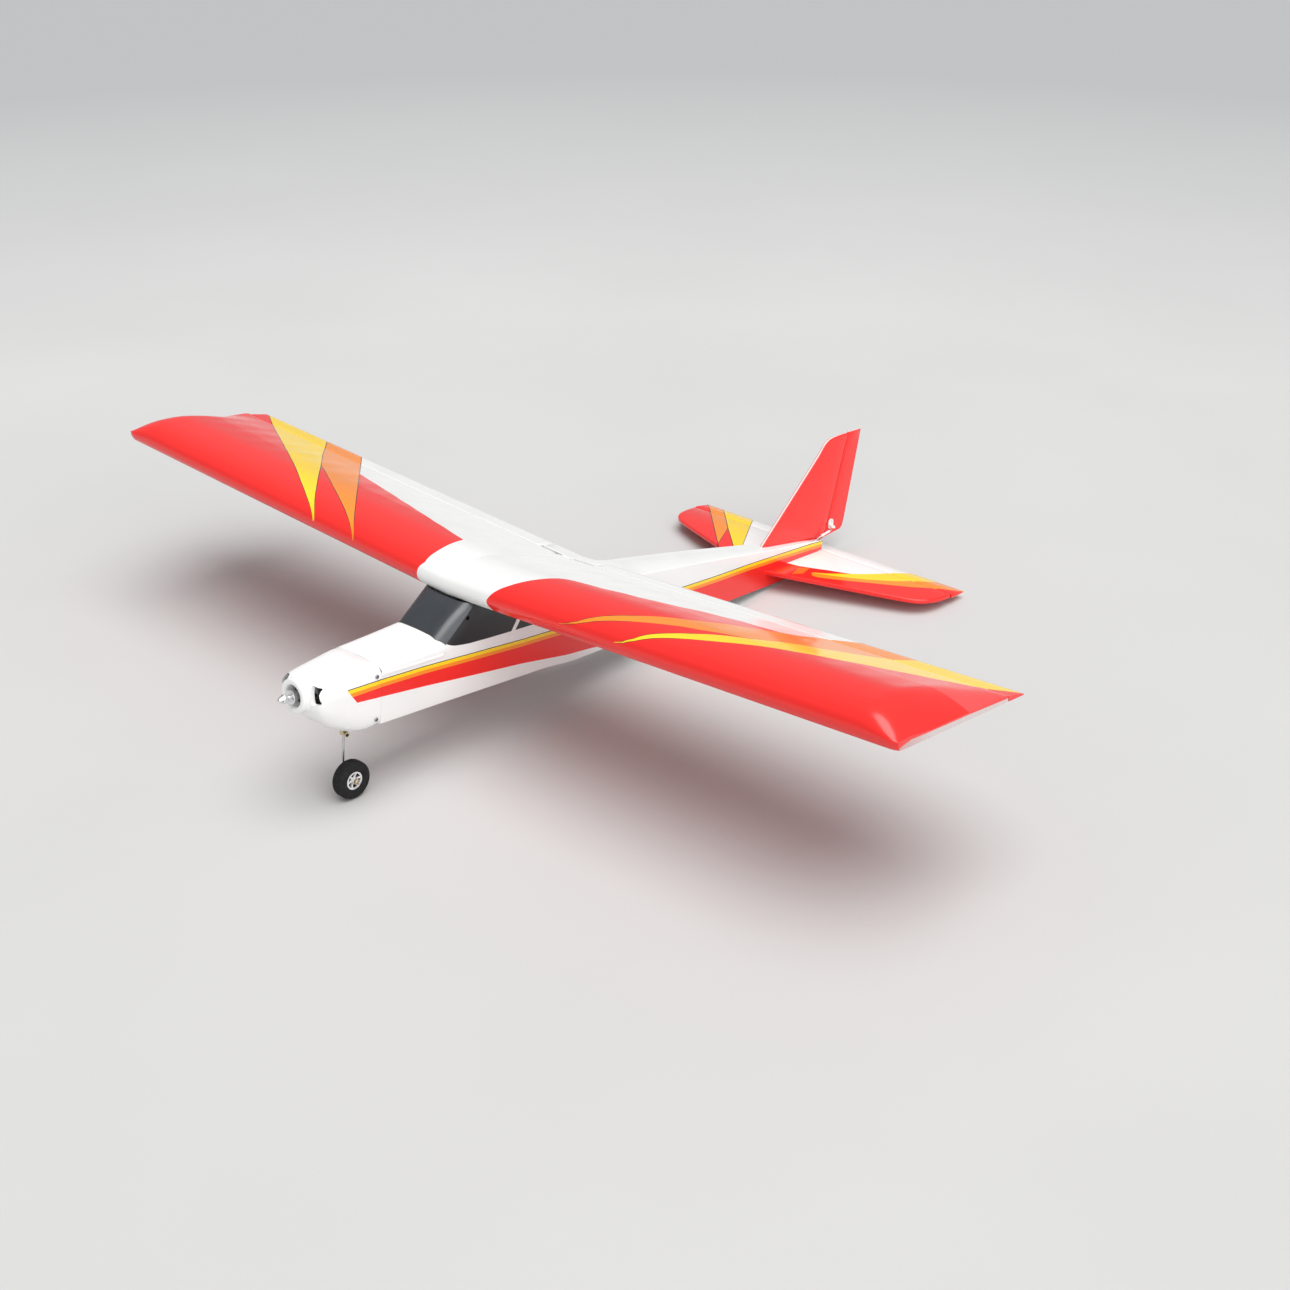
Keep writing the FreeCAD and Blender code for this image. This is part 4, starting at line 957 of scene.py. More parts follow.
ob = tub()
tools = []
for y, z in ((-5.8, -18.8), (266, -17)):
    tools.append(lathe("c", [(-60, 3.0), (60, 3.0)], (0, y, z), (1, 0, 0), [M["abs_black"]], n=24))
subtract(ob, tools)
finish_mesh(ob, 30)
place(ob, "airframe", "film_white", "fuselage_side_port", "fuselage_side_starboard", "fuselage_bottom")
ob = boom()
subtract(ob, [box_mesh("c", 4.2, 848, -103, 9.4, 884, -80), box_mesh("c", -16, 812, -150, -8, 866, -121.5)])
finish_mesh(ob, 30)
place(ob, "airframe", "film_white", "rear_top_deck")

# ------------------------------------------------------------------ battery hatch (front deck)
HATCH = [(-161.6, -51.4), (-150, -49.4), (-130, -46.5), (-112, -43.9), (-95, -41.5), (-78, -39.1), (-61.2, -36.8), (-44, -34.6)]


def hatch_profile(y, d=0.0):
    """Half arch from the lower port edge to the crown, as (x, z)."""
    top = interp(y, HATCH) - d
    h = 50.0 - d
    edge = -62.0
    r = float(np.interp(y, [-162, -120, -61], [19.0, 22.0, 24.0]))
    rv = min(r, top - 0.9 - edge - 1.9)
    pts = [(h + 0.9, -66.5), (h + 0.95, -63.4), (h + 0.35, -62.0 + 0.15), (h, edge + 0.9)]
    for q in range(0, 11):
        a = math.pi / 2 * q / 10
        pts.append((h - r + r * math.cos(a), top - rv - 0.9 + rv * math.sin(a)))
    xc = h - r
    for q in (0.75, 0.5, 0.25, 0.0):
        pts.append((xc * q, top - 0.9 * q * q))
    pts[1 + 3 + 10] = (xc, top - 0.9)
    return pts


def hatch():
    cols = []
    prof = [hatch_profile(y) for y, _ in HATCH]
    np_ = len(prof[0])
    ys0 = [y for y, _ in HATCH]
    rows = []
    nu = 26
    for j in range(np_):
        zs = prof[-1][j][1]
        # rear edge: swept back low on the sides, forward on the crown
        ye = float(np.interp(prof[-1][j][1], [-66.5, -62, -52, -46, -41, -34], [-50.5, -48.5, -43.6, -46.5, -57.6, -59.6]))
        line = []
        for i in range(nu):
            y = ys0[0] + (ye - ys0[0]) * i / (nu - 1)
            x = float(np.interp(y, ys0, [p[j][0] for p in prof]))
            z = float(np.interp(y, ys0, [p[j][1] for p in prof]))
            line.append((x, y, z))
        rows.append(line)
    full = rows + [[(-x, y, z) for x, y, z in line] for line in reversed(rows[:-1])]
    v = [p for line in full for p in line]
    ob = raw("front_deck_hatch", v, grid(len(full), nu), [M["abs_white"]], flip=False)
    md = ob.modifiers.new("s", "SOLIDIFY")
    md.thickness = 0.0013
    md.offset = -1
    md2 = ob.modifiers.new("b", "BEVEL")
    md2.width = 0.0005
    md2.segments = 2
    md2.limit_method = "ANGLE"
    md2.angle_limit = math.radians(50)
    return ob


ob = hatch()
me = ob.data
bm = bmesh.new()
bm.from_mesh(me)
bmesh.ops.recalc_face_normals(bm, faces=bm.faces)
c = row([(0, -110, -80)])[0]
f0 = max(bm.faces, key=lambda q: q.calc_center_median().z)
if f0.normal.z < 0:
    bmesh.ops.reverse_faces(bm, faces=bm.faces)
bm.to_mesh(me)
bm.free()
finish_mesh(ob, 40)
place(ob, "hatch", "abs_white", "battery_hatch")


# ------------------------------------------------------------------ windscreen
def chaikin(p, it=3):
    p = [np.array(q, float) for q in p]
    for _ in range(it):
        out = [p[0]]
        for a, b in zip(p, p[1:]):
            out += [a * 0.75 + b * 0.25, a * 0.25 + b * 0.75]
        out.append(p[-1])
        p = out
    return p


base = [(50.05, -43.9, -48.4), (49.0, -46.0, -47.3), (45.2, -51.6, -44.6), (40.0, -56.2, -42.5), (31.0, -59.0, -41.4), (16, -60.1, -40.9), (0, -60.4, -40.8)]
topc = [(50.05, 8.6, 1.3), (49.0, 6.4, 1.2), (45.4, 1.0, 1.2), (40.4, -3.4, 1.2), (31.4, -6.4, 1.2), (16, -7.7, 1.2), (0, -8.0, 1.2)]
base = base + [(-x, y, z) for x, y, z in reversed(base[:-1])]
topc = topc + [(-x, y, z) for x, y, z in reversed(topc[:-1])]
base, topc = chaikin(base, 3), chaikin(topc, 3)
nv = 12
v = []
for i, (a, b) in enumerate(zip(base, topc)):
    for j in range(nv):
        t = j / (nv - 1)
        p = a * (1 - t) + b * t
        bulge = 1.1 * math.sin(math.pi * t) * max(0.0, 1 - (abs(p[0]) / 47) ** 4)
        v.append(p + np.array([0, -bulge * 0.75, bulge * 0.75]))
    v.append(np.array([b[0] * 0.965, b[1] + 4.6, -0.35]))
    v.append(np.array([b[0] * 0.93, b[1] + 13.0, -1.5]))
nv += 2
ob = raw("windscreen_shell", v, grid(len(base), nv), [M["abs_black"]], flip=False)
bm = bmesh.new()
bm.from_mesh(ob.data)
bmesh.ops.recalc_face_normals(bm, faces=bm.faces)
f0 = min(bm.faces, key=lambda q: q.calc_center_median().y)
if f0.normal.y > 0:
    bmesh.ops.reverse_faces(bm, faces=bm.faces)
bm.to_mesh(ob.data)
bm.free()
md = ob.modifiers.new("s", "SOLIDIFY")
md.thickness = 0.0012
md.offset = -1
finish_mesh(ob, 50)
place(ob, "airframe", "abs_black", "windscreen")

# ------------------------------------------------------------------ cowl
COWL = [(-161.9, -96.8, 50.12, 44.85, 6.5), (-168, -97.2, 50.15, 46.6, 5.8), (-174, -98.0, 50.0, 48.6, 5.1), (-182, -98.8, 49.4, 50, 4.5), (-194, -98.8, 49.0, 49.3, 4.0), (-206, -98, 48.4, 47.5, 3.6),
        (-219, -96.4, 47.7, 44.2, 3.4), (-232, -94, 46.8, 40, 3.2), (-241, -91.6, 45.9, 35.8, 3.1), (-250, -88.5, 44.5, 30.5, 3.0), (-256, -86.0, 42.8, 26.4, 2.9), (-260, -84.2, 41.0, 22.8, 2.85),
        (-262.4, -83, 38.6, 19.6, 2.8), (-263.6, -82.9, 35.5, 17.4, 2.7), (-264.6, -83, 31.0, 21.0, 2.3), (-265.0, -83, 26.5, 24.4, 2.05)]


def superring(y, cz, rx, rz, n, p):
    pts = []
    for k_ in range(n):
        a = 2 * math.pi * (k_ + 0.5) / n
        c_, s_ = math.cos(a), math.sin(a)
        # even spacing of angle on a squarish ring
        rr = (abs(c_ / rx) ** p + abs(s_ / rz) ** p) ** (-1.0 / p)
        pts.append((rr * c_, y, cz + rr * s_))
    return pts


n = 96
v = []
for q in COWL:
    v += superring(q[0], q[1], q[2], q[3], n, q[4])
m0 = len(COWL)
# boss ring round the shaft, with a rounded lip and an opening
for y, r in ((-266.2, 25.3), (-268.5, 25.0), (-272.6, 24.8), (-274.0, 24.2), (-274.7, 23.0), (-274.7, 18.2), (-274.2, 16.8), (-273.0, 15.9), (-270.0, 15.3), (-262.0, 15.1), (-258.5, 15.1)):
    v += [(r * math.cos(2 * math.pi * (i + 0.5) / n), y, -83 + r * math.sin(2 * math.pi * (i + 0.5) / n)) for i in range(n)]
m1 = len(v) // n
# back inside: inner skin
INN = [(-258.5, -83, 24.0, 17.0, 2.3), (-256, -85.5, 38.5, 20.5, 2.8), (-250, -88.5, 42.2, 28.2, 3.0), (-232, -94, 44.8, 38, 3.2), (-206, -98, 46.5, 45.6, 3.6), (-182, -98.8, 47.6, 48.2, 4.5), (-161.9, -96.8, 48.3, 43.0, 6.5)]
for q in INN:
    v += superring(q[0], q[1], q[2], q[3], n, q[4])
m2 = len(v) // n
faces = grid(m2, n, wrap_v=True)
for i in range(n):
    a, b = (m2 - 1) * n + i, (m2 - 1) * n + (i + 1) % n
    faces.append((a, b, (i + 1) % n, i))
mi = [0 if i // n < m1 - 1 else 1 for i in range(len(faces))]
M["cowl_in"] = plain("cowl_inner_plastic", (0.60, 0.50, 0.42), 0.5, amount=0.08, scale=0.05, grain=0.8, depth=0.00006)
# painted shade: the walls of the air intakes are painted dark brown, for the shade inside the openings
M["intake"] = plain("intake_wall_painted_shade", (0.15, 0.105, 0.075), 0.55, amount=0.25, scale=0.12, grain=0.8, depth=0.00006)
ob = raw("nose_cowl", v, faces, [M["cowl"], M["cowl_in"]], mi)
tools = []
for s in (1, -1):
    # air intake beside the boss, leaning outward towards its foot
    o = [(24.0, -64.8), (24.7, -63.4), (26.2, -63.0), (34.8, -65.0), (36.2, -65.8), (36.9, -67.2), (41.8, -82.6), (41.6, -84.6), (40.4, -86.0), (30.6, -88.0), (29.0, -87.6), (28.0, -86.2)]
    c1 = extrude_outline("c", [(s * a, b) for a, b in o], -290, -233, "xz", [M["intake"]])
    tools.append(c1)
o = smooth_outline([(-8, -206), (8, -206), (8, -167), (-8, -167)], 2)
tools.append(extrude_outline("c", o, -165, -125, "xy", [M["cowl_in"]]))
subtract(ob, tools)
finish_mesh(ob, 36)
place(ob, "airframe", "abs_white", "cowl")

# cowl screws: pan heads with a cross recess
parts = []
for s in (1, -1):
    for z in (-65.0, -128.7):
        h = lathe("scr", [(-0.8, 2.4), (0.0, 3.0), (0.45, 3.0), (1.0, 2.65), (1.35, 1.9), (1.5, 0.9), (1.55, 0.0)], (s * 50.05, -170, z), (s, 0, 0), [M["screw"]], n=28)
        t1 = box_mesh("c", s * 50.9 if s > 0 else -53, -170.3, z - 1.7, 53 if s > 0 else -50.9, -169.7, z + 1.7)
        t2 = box_mesh("c", s * 50.9 if s > 0 else -53, -171.7, z - 0.3, 53 if s > 0 else -50.9, -168.3, z + 0.3)
        subtract(h, [t1])
        subtract(h, [t2])
        parts.append(h)
bm = bmesh.new()
for h in parts:
    bm.from_mesh(h.data)
me = bpy.data.meshes.new("cowl_screw_heads")
bm.to_mesh(me)
bm.free()
me.materials.append(M["screw"])
for h in parts:
    bpy.data.objects.remove(h)
ob = bpy.data.objects.new("cowl_screw_heads", me)
bpy.context.scene.collection.objects.link(ob)
finish_mesh(ob, 35)
place(ob, "airframe", "steel", "cowl_screws")


# ------------------------------------------------------------------ power train
def joined(name, obs, angle=38):
    mats = []
    bm = bmesh.new()
    for o in obs:
        idx = []
        for m in o.data.materials:
            if m not in mats:
                mats.append(m)
            idx.append(mats.index(m))
        nf = len(bm.faces)
        bm.from_mesh(o.data)
        bm.faces.ensure_lookup_table()
        for f_ in bm.faces[nf:]:
            f_.material_index = idx[f_.material_index] if idx else 0
    me = bpy.data.meshes.new(name)
    bm.to_mesh(me)
    bm.free()
    for m in mats:
        me.materials.append(m)
    for o in obs:
        bpy.data.objects.remove(o)
    ob = bpy.data.objects.new(name, me)
    bpy.context.scene.collection.objects.link(ob)
    return finish_mesh(ob, angle)


TZ = -83.0
NO = (0, -1, 0)
# adapter: collar on the can, threaded shaft
prof = [(250.1, 0.0), (250.1, 7.5), (251, 7.9), (255, 7.9), (256, 7.4), (262, 7.1), (267, 7.0), (268.2, 7.3), (275.6, 7.3), (276.3, 6.6), (276.4, 3.0)]
y_ = 276.9
while y_ < 288.4:
    prof += [(y_, 2.98), (y_ + 0.22, 2.72), (y_ + 0.44, 2.98)]
    y_ += 0.5
prof += [(288.9, 2.6), (289.0, 0.0)]
ob = lathe("propeller_adapter", prof, (0, 0, TZ), NO, [M["alu"]], n=40)
finish_mesh(ob, 30)
place(ob, "rotor", "aluminium", "prop_adapter")

# drive washer with a knurled face and edge
n = 72
prof = [(276.5, 3.05), (276.5, 9.6), (276.9, 10.3), (277.6, 10.5), (278.4, 10.4), (278.9, 9.9), (279.1, 9.2), (279.1, 6.0), (278.8, 5.5), (278.8, 3.05)]
ob = lathe("knurled_drive_washer", prof, (0, 0, TZ), NO, [M["alu"]], n=n, closed=True)
co = np.array([w.co for w in ob.data.vertices])
cen = row([(0, -278, TZ)])[0]
axd = row([(0, -279, TZ)])[0] - cen
axd /= np.linalg.norm(axd)
for w in ob.data.vertices:
    d = np.array(w.co) - cen
    al = np.dot(d, axd)
    rad = d - axd * al
    rr = np.linalg.norm(rad)
    if rr > 0.0088:
        ang = math.atan2(rad[2], rad[0])
        w.co = Vector(cen + axd * al + rad * (1 - 0.02 * (0.5 + 0.5 * math.cos(36 * ang))))
finish_mesh(ob, 25)
place(ob, "rotor", "aluminium", "drive_washer")

# cone nut: hexagon foot, cone with a cross hole
hexp = [(6.2 / math.cos(math.pi / 6) * 0.98 * math.cos(math.radians(60 * i + 15)), TZ + 6.2 / math.cos(math.pi / 6) * 0.98 * math.sin(math.radians(60 * i + 15))) for i in range(6)]
foot = extrude_outline("foot", hexp, -285.6, -290.2, "xz", [M["alu"]])
bevel(foot, 0.5, 2)
bpy.context.view_layer.update()
finish_mesh(foot)
cone_ = lathe("cone", [(289.9, 5.6), (291.0, 5.1), (293.4, 4.5), (295.4, 3.6), (297.0, 2.5), (297.9, 1.5), (298.25, 0.7), (298.3, 0.0)], (0, 0, TZ), NO, [M["alu"]], n=40)
subtract(cone_, [lathe("c", [(-8, 0.9), (8, 0.9)], (0, -293.2, TZ), (1, 0, 0), [M["alu"]], n=16)])
ob = joined("cone_nut", [foot, cone_], 35)
place(ob, "rotor", "aluminium", "prop_nut")

# motor can: drum with front spokes and magnets' rim
can = lathe("can", [(214.2, 18.5), (214.2, 20.6), (214.8, 21.0), (236.0, 21.0), (236.4, 20.7), (237.2, 20.7), (237.6, 21.0), (243.6, 21.0), (245.4, 20.2), (246.0, 18.8), (247.6, 12.4), (249.4, 12.0), (250.0, 11.4),
                    (250.0, 3.1), (241.4, 3.1), (241.4, 18.5)], (0, 0, TZ), NO, [M["can"]], n=64, closed=True)
tools = []
for i in range(6):
    a = math.radians(60 * i)
    c1 = lathe("c", [(238, 2.9), (252, 2.9)], (15.2 * math.cos(a), 0, TZ + 15.2 * math.sin(a)), NO, [M["can"]], n=18)
    tools.append(c1)
subtract(can, tools)
finish_mesh(can, 32)
can.name = "outrunner_can"
place(can, "rotor", "aluminium", "motor_can")

# stator: base flange, laminated core and wound poles
parts = [lathe("fl", [(208.2, 0.0), (208.2, 15.4), (208.8, 16.0), (212.6, 16.0), (213.2, 15.4), (213.2, 6.0), (238, 6.0), (238, 3.3), (238.1, 0.0)], (0, 0, TZ), NO, [M["alu"]], n=40)]
for i in range(12):
    a = math.radians(30 * i)
    u = np.array([math.cos(a), 0, math.sin(a)])
    t = np.array([-math.sin(a), 0, math.cos(a)])
    path = []
    for q in range(17):
        th = 2 * math.pi * q / 16
        path.append((0, 0))
    prof = []
    vv, ff = [], []
    nr = 9
    for r_i in range(nr):
        r = 7.5 + (16.0 - 7.5) * r_i / (nr - 1)
        w = 1.6 + 0.25 * (r_i % 2) + 0.1 * (r - 7.5)
        hh = 9.6 + 0.25 * (r_i % 2)
        for q in range(12):
            th = 2 * math.pi * q / 12
            p = u * r + t * (w * math.cos(th)) + np.array([0, hh * np.sign(math.sin(th)) * abs(math.sin(th)) ** 0.5, 0])
            vv.append((p[0], -226.5 + p[1], TZ + p[2]))
    ff = grid(nr, 12, wrap_v=True) + [tuple(range(12)), tuple((nr - 1) * 12 + q for q in range(12))]
    parts.append(raw("coil", vv, ff, [M["copper"]]))
    o = [(16.2, -2.6), (17.4, -3.6), (17.4, 3.6), (16.2, 2.6)]
    vv = []
    for y in (-217.5, -235.5):
        for a_, b_ in o:
            p = u * a_ + t * b_
            vv.append((p[0], y, TZ + p[2]))
    parts.append(raw("shoe", vv, box_faces(), [M["steel"]]))
ob = joined("wound_stator", parts, 35)
place(ob, "airframe", "copper_winding", "motor_stator_core")


# ------------------------------------------------------------------ nose leg and wheel
NY, AZ = -185.5, -226.0
path = rounded([(0, NY, -106), (0, NY, AZ), (36, NY, AZ)], 7.0, 8)
ob = tube("bent_nose_leg", densify(path, 6.0), 2.0, [M["steel"]], n=24)
finish_mesh(ob, 40)
place(ob, "nose_leg", "steel", "nose_leg_wire")

parts = []
for z0, z1, rr in ((-143.2, -138.6, 4.6), (-163.4, -155.4, 5.6)):
    parts.append(lathe("col", [(z0, 2.05), (z0, rr - 0.4), (z0 + 0.4, rr), (z1 - 0.4, rr), (z1, rr - 0.4), (z1, 2.05)], (0, NY, 0), (0, 0, 1), [M["brass"]], n=36, closed=True))
# grub screw with a long head on the lower collar, turned to port
parts.append(lathe("grub", [(4.4, 0.0), (4.4, 2.2), (6.6, 2.2), (6.8, 3.5), (7.3, 4.0), (13.4, 4.0), (14.0, 3.6), (14.1, 2.5)], (0, NY - 1.2, -159.4), (1, -0.25, 0), [M["brass"]], n=30))
# painted shade: a black lining in the socket of the grub screw's head
parts.append(lathe("bore_painted_shade", [(14.1, 2.5), (10.5, 2.3), (10.5, 0.0)], (0, NY - 1.2, -159.4), (1, -0.25, 0), [M["case"]], n=30))
x0 = 28.0
parts.append(lathe("ax", [(x0, 2.05), (x0, 3.8), (x0 + 0.4, 4.2), (x0 + 4.6, 4.2), (x0 + 5, 3.8), (x0 + 5, 2.05)], (0, NY, AZ), (1, 0, 0), [M["brass"]], n=36, closed=True))
parts.append(lathe("gs", [(3.8, 0.0), (3.8, 1.4), (5.3, 1.4), (5.6, 1.1), (5.6, 0.65), (4.8, 0.6), (4.8, 0.0)], (x0 + 2.5, NY, AZ), (0, 0, 1), [M["steel"]], n=20))
ob = joined("wheel_collars", parts, 35)
place(ob, "nose_leg", "steel", "leg_collars")

WX = 18.0
# tyre: crowned soft foam with a flat tread and a faint moulding line
prof = [(-7.4, 13.5), (-8.0, 13.6), (-9.2, 14.8), (-10.2, 16.8), (-10.7, 19.0), (-10.75, 21.0), (-10.5, 22.8), (-9.7, 24.7), (-8.6, 26.2), (-7.2, 27.2), (-5.4, 27.8), (-3.0, 28.0), (-0.5, 28.0), (-0.15, 27.85), (0.15, 27.85),
        (0.5, 28.0), (3.0, 28.0), (5.4, 27.8), (7.2, 27.2), (8.6, 26.2), (9.7, 24.7), (10.5, 22.8), (10.75, 21.0), (10.7, 19.0), (10.2, 16.8), (9.2, 14.8), (8.0, 13.6), (7.4, 13.5)]
ob = lathe("foam_tyre", prof, (WX, NY, AZ), (1, 0, 0), [M["tyre"]], n=72, closed=True)
finish_mesh(ob, 50)
place(ob, "nose_wheel", "foam_tyre", "tyre")

# hub: rim, six spokes on the outer face, stepped boss
parts = [lathe("rim", [(-8, 10.9), (-8, 12.9), (-7.6, 13.4), (7.6, 13.4), (8.0, 13.0), (8.2, 12.2), (8.0, 11.2), (7.0, 10.8), (3, 10.6), (-3, 10.6), (-7.4, 10.7)], (WX, NY, AZ), (1, 0, 0), [M["hub"]], n=64, closed=True),
         lathe("boss", [(-9.5, 2.1), (-9.5, 4.3), (-9.2, 4.6), (-7.5, 5.2), (5.0, 5.2), (5.6, 5.0), (7.2, 4.7), (9.2, 4.5), (9.5, 4.2), (9.5, 2.1)], (WX, NY, AZ), (1, 0, 0), [M["hub"]], n=48, closed=True),
         # the web, the liner and the foot are black pieces deep in the hub: painted shade in its gaps and recesses
         lathe("web", [(2.2, 5.0), (2.2, 10.8), (3.2, 10.8), (3.2, 5.0)], (WX, NY, AZ), (1, 0, 0), [M["tyre"]], n=48, closed=True),
         lathe("liner_painted_shade", [(3.0, 10.15), (6.3, 10.3), (6.3, 10.75), (3.0, 10.75)], (WX, NY, AZ), (1, 0, 0), [M["tyre"]], n=64, closed=True),
         lathe("foot", [(3.0, 5.0), (3.0, 5.5), (4.7, 5.4), (4.7, 5.0)], (WX, NY, AZ), (1, 0, 0), [M["tyre"]], n=48, closed=True)]
for i in range(6):
    a = math.radians(60 * i + 12)
    u = np.array([0, math.cos(a), math.sin(a)])
    t = np.array([0, -math.sin(a), math.cos(a)])
    vv = []
    for r, w, x0_, x1_ in ((4.6, 1.6, 2.9, 5.6), (6.2, 1.0, 2.9, 6.2), (9.2, 1.0, 2.9, 6.9), (11.2, 1.5, 2.9, 7.4)):
        for x_, ww in ((x0_, w), (x1_ - 0.4, w), (x1_, w - 0.3), (x1_, -w + 0.3), (x1_ - 0.4, -w), (x0_, -w)):
            p = u * r + t * ww
            vv.append((WX + x_, NY + p[1], AZ + p[2]))
    ff = grid(4, 6, wrap_v=True) + [tuple(range(6)), tuple(18 + q for q in range(6))]
    parts.append(raw("sp", vv, ff, [M["hub"]]))
ob = joined("spoked_hub", parts, 32)
place(ob, "nose_wheel", "hub_silver", "wheel_hub")

# ------------------------------------------------------------------ tail
STAB = [(0, 716), (20, 716), (238, 799), (262, 811), (276, 828), (283, 852), (284.5, 885.2)]


def slab(name, outline, planar_t, plane, mats, w, seg, keep=(), it=1, mid=0.0):
    o = smooth_outline(outline, it, keep=keep) if it else outline
    ob = extrude_outline(name, o, mid - planar_t / 2, mid + planar_t / 2, plane, mats)
    bevel(ob, w, seg, 40)
    bpy.context.view_layer.update()
    return finish_mesh(ob, 30)


loop = STAB[1:] + [(-x, y) for x, y in reversed(STAB[1:])]
ob = slab("tailplane", loop, 8, "xy", [M["tail"]], 2.6, 4, keep=(0, 5, 6, 11), it=2, mid=-117)
place(ob, "airframe", "film_white", "stabiliser")


def wedge_surface(name, line0, line1, t0, t1, frame_fn, mats, n, nose=3.2):
    """Control surface between its hinge line and trailing edge: bevelled nose, tapered, rounded edges."""
    v = []
    for i in range(n):
        a, b = line0(i / (n - 1)), line1(i / (n - 1))
        L = math.dist(a, b)
        e = 0.75 if i in (0, n - 1) else 1.0
        q = [(0.0, 0.0), (0.35, 0.5 * t0), (nose - 0.8, t0 - 0.3), (nose + 0.6, t0), (L * 0.5, t0 + (t1 - t0) * 0.5), (L - 0.9, t1), (L - 0.2, t1 * 0.6), (L, 0.0),
             (L - 0.2, -t1 * 0.6), (L - 0.9, -t1), (L * 0.5, -t0 - (t1 - t0) * 0.5), (nose + 0.6, -t0), (nose - 0.8, -t0 + 0.3), (0.35, -0.5 * t0)]
        for s_, h_ in q:
            v.append(frame_fn(a, b, s_ / L, h_ * e))
    m = 14
    f = grid(n, m, wrap_v=True) + [tuple(range(m)), tuple((n - 1) * m + i for i in range(m))]
    return raw(name, v, f, mats)


xs = [-285.5, -285.0, -270, -200, -120, -40, 0, 40, 120, 200, 270, 285.0, 285.5]
n = len(xs)
ob = wedge_surface("elevator_surface", lambda q: (xs[int(round(q * (n - 1)))], 885.9), lambda q: (xs[int(round(q * (n - 1)))], 923.0), 4.0, 1.2,
                   lambda a, b, q, h: (a[0], a[1] + (b[1] - a[1]) * q, -117 + h), [M["tail"]], n)
finish_mesh(ob, 34)
place(ob, "elevator", "film_white", "elevator")


def edge_white(ob, limit=0.62):
    """The rounded outer edges of an upright surface show a pale film edge."""
    for p in ob.data.polygons:
        if abs(p.normal.x) < limit:
            p.material_index = 1


fin_o = [(722, -78.2), (884.4, -97.2), (897.9, -95.2), (936.2, 91), (903, 89.5), (884, 86), (872, 78), (864, 66)]
ob = slab("fin_surface", fin_o, 7, "yz", [M["red"], M["fin_edge"]], 2.2, 4, keep=(0, 1, 2, 3), it=2)
edge_white(ob)
place(ob, "airframe", "film_red", "fin")


def rud(q):
    a = np.array([900.9, -93.8]) * (1 - q) + np.array([939.3, 91.4]) * q
    return (a[0], a[1])


RUD_TE = [(-93.8, 948.0), (-88.0, 948.0), (-81.0, 955.0), (92.5, 976.6)]
qs = [0.0, 0.004, 0.03, 0.06, 0.12, 0.3, 0.5, 0.7, 0.88, 0.985, 1.0]
n = len(qs)


def rud_te(q):
    za = rud(q)[1]
    z = za * (1.0) + (92.5 - 91.4) * q
    zz = max(z, -92.5 + 0.0)
    y = float(np.interp(zz, [a for a, _ in RUD_TE], [b for _, b in RUD_TE]))
    # lower edge slopes up slightly to the rear
    if q < 0.03:
        zz = -88.0 + 0 * zz
        y = 948.0 - 1.0
    return (y, zz)


ob = wedge_surface("rudder_surface", lambda q: rud(qs[int(round(q * (n - 1)))]), lambda q: rud_te(qs[int(round(q * (n - 1)))]), 2.8, 1.3,
                   lambda a, b, q, h: (h, a[0] + (b[0] - a[0]) * q, a[1] + (b[1] - a[1]) * q), [M["red"], M["fin_edge"]], n)
finish_mesh(ob, 34)
for p in ob.data.polygons:
    if abs(p.normal.x) < 0.62 and not (p.normal.y < -0.3):
        p.material_index = 1
place(ob, "rudder", "film_red", "rudder")

# rudder horn: base plate, triangular arm with holes, two screws
parts = []
o = smooth_outline([(907.6, -81), (921.4, -81), (922, -66), (915, -62), (907.6, -64)], 2)
b0 = extrude_outline("hb", o, 2.85, 4.3, "yz", [M["nylon"]])
bevel(b0, 0.4, 2)
bpy.context.view_layer.update()
finish_mesh(b0)
parts.append(b0)
o = smooth_outline([(4.0, 906.2), (4.0, 919.5), (10, 913.5), (18.6, 909.4), (19.4, 904.4), (18.6, 901.2), (14.6, 900.8), (12.6, 903.6)], 2)
b1 = extrude_outline("ha", o, -74.4, -72.0, "xy", [M["nylon"]])
subtract(b1, [lathe("c", [(-76, 0.75), (-70, 0.75)], (x_, y_, 0), (0, 0, 1), [M["nylon"]], n=14) for x_, y_ in ((16.6, 903.4), (13.6, 907.2), (10.4, 909.8))])
bevel(b1, 0.35, 2)
bpy.context.view_layer.update()
finish_mesh(b1)
parts.append(b1)
for z in (-77.6, -67.0):
    parts.append(lathe("s", [(4.2, 0.0), (4.2, 1.5), (4.7, 1.5), (5.2, 1.1), (5.35, 0.0)], (0, 915.5, z), (1, 0, 0), [M["steel"]], n=18))
ob = joined("rudder_horn_plate", parts, 32)
place(ob, "rudder", "nylon_white", "rudder_horn")

parts = []
o = smooth_outline([(-17, 890), (-7, 890), (-7, 904), (-17, 904)], 2)
b0 = extrude_outline("eb", o, -123.0, -121.0, "xy", [M["nylon"]])
bevel(b0, 0.4, 2)
bpy.context.view_layer.update()
finish_mesh(b0)
parts.append(b0)
o = smooth_outline([(900, -122.6), (890, -122.6), (884.6, -125.2), (884.4, -128.9), (887.4, -129.2), (893, -127.4)], 2)
b1 = extrude_outline("ea", o, -13.0, -11.0, "yz", [M["nylon"]])
bevel(b1, 0.35, 2)
bpy.context.view_layer.update()
finish_mesh(b1)
parts.append(b1)
ob = joined("elevator_horn_plate", parts, 32)
place(ob, "elevator", "nylon_white", "elevator_horn")

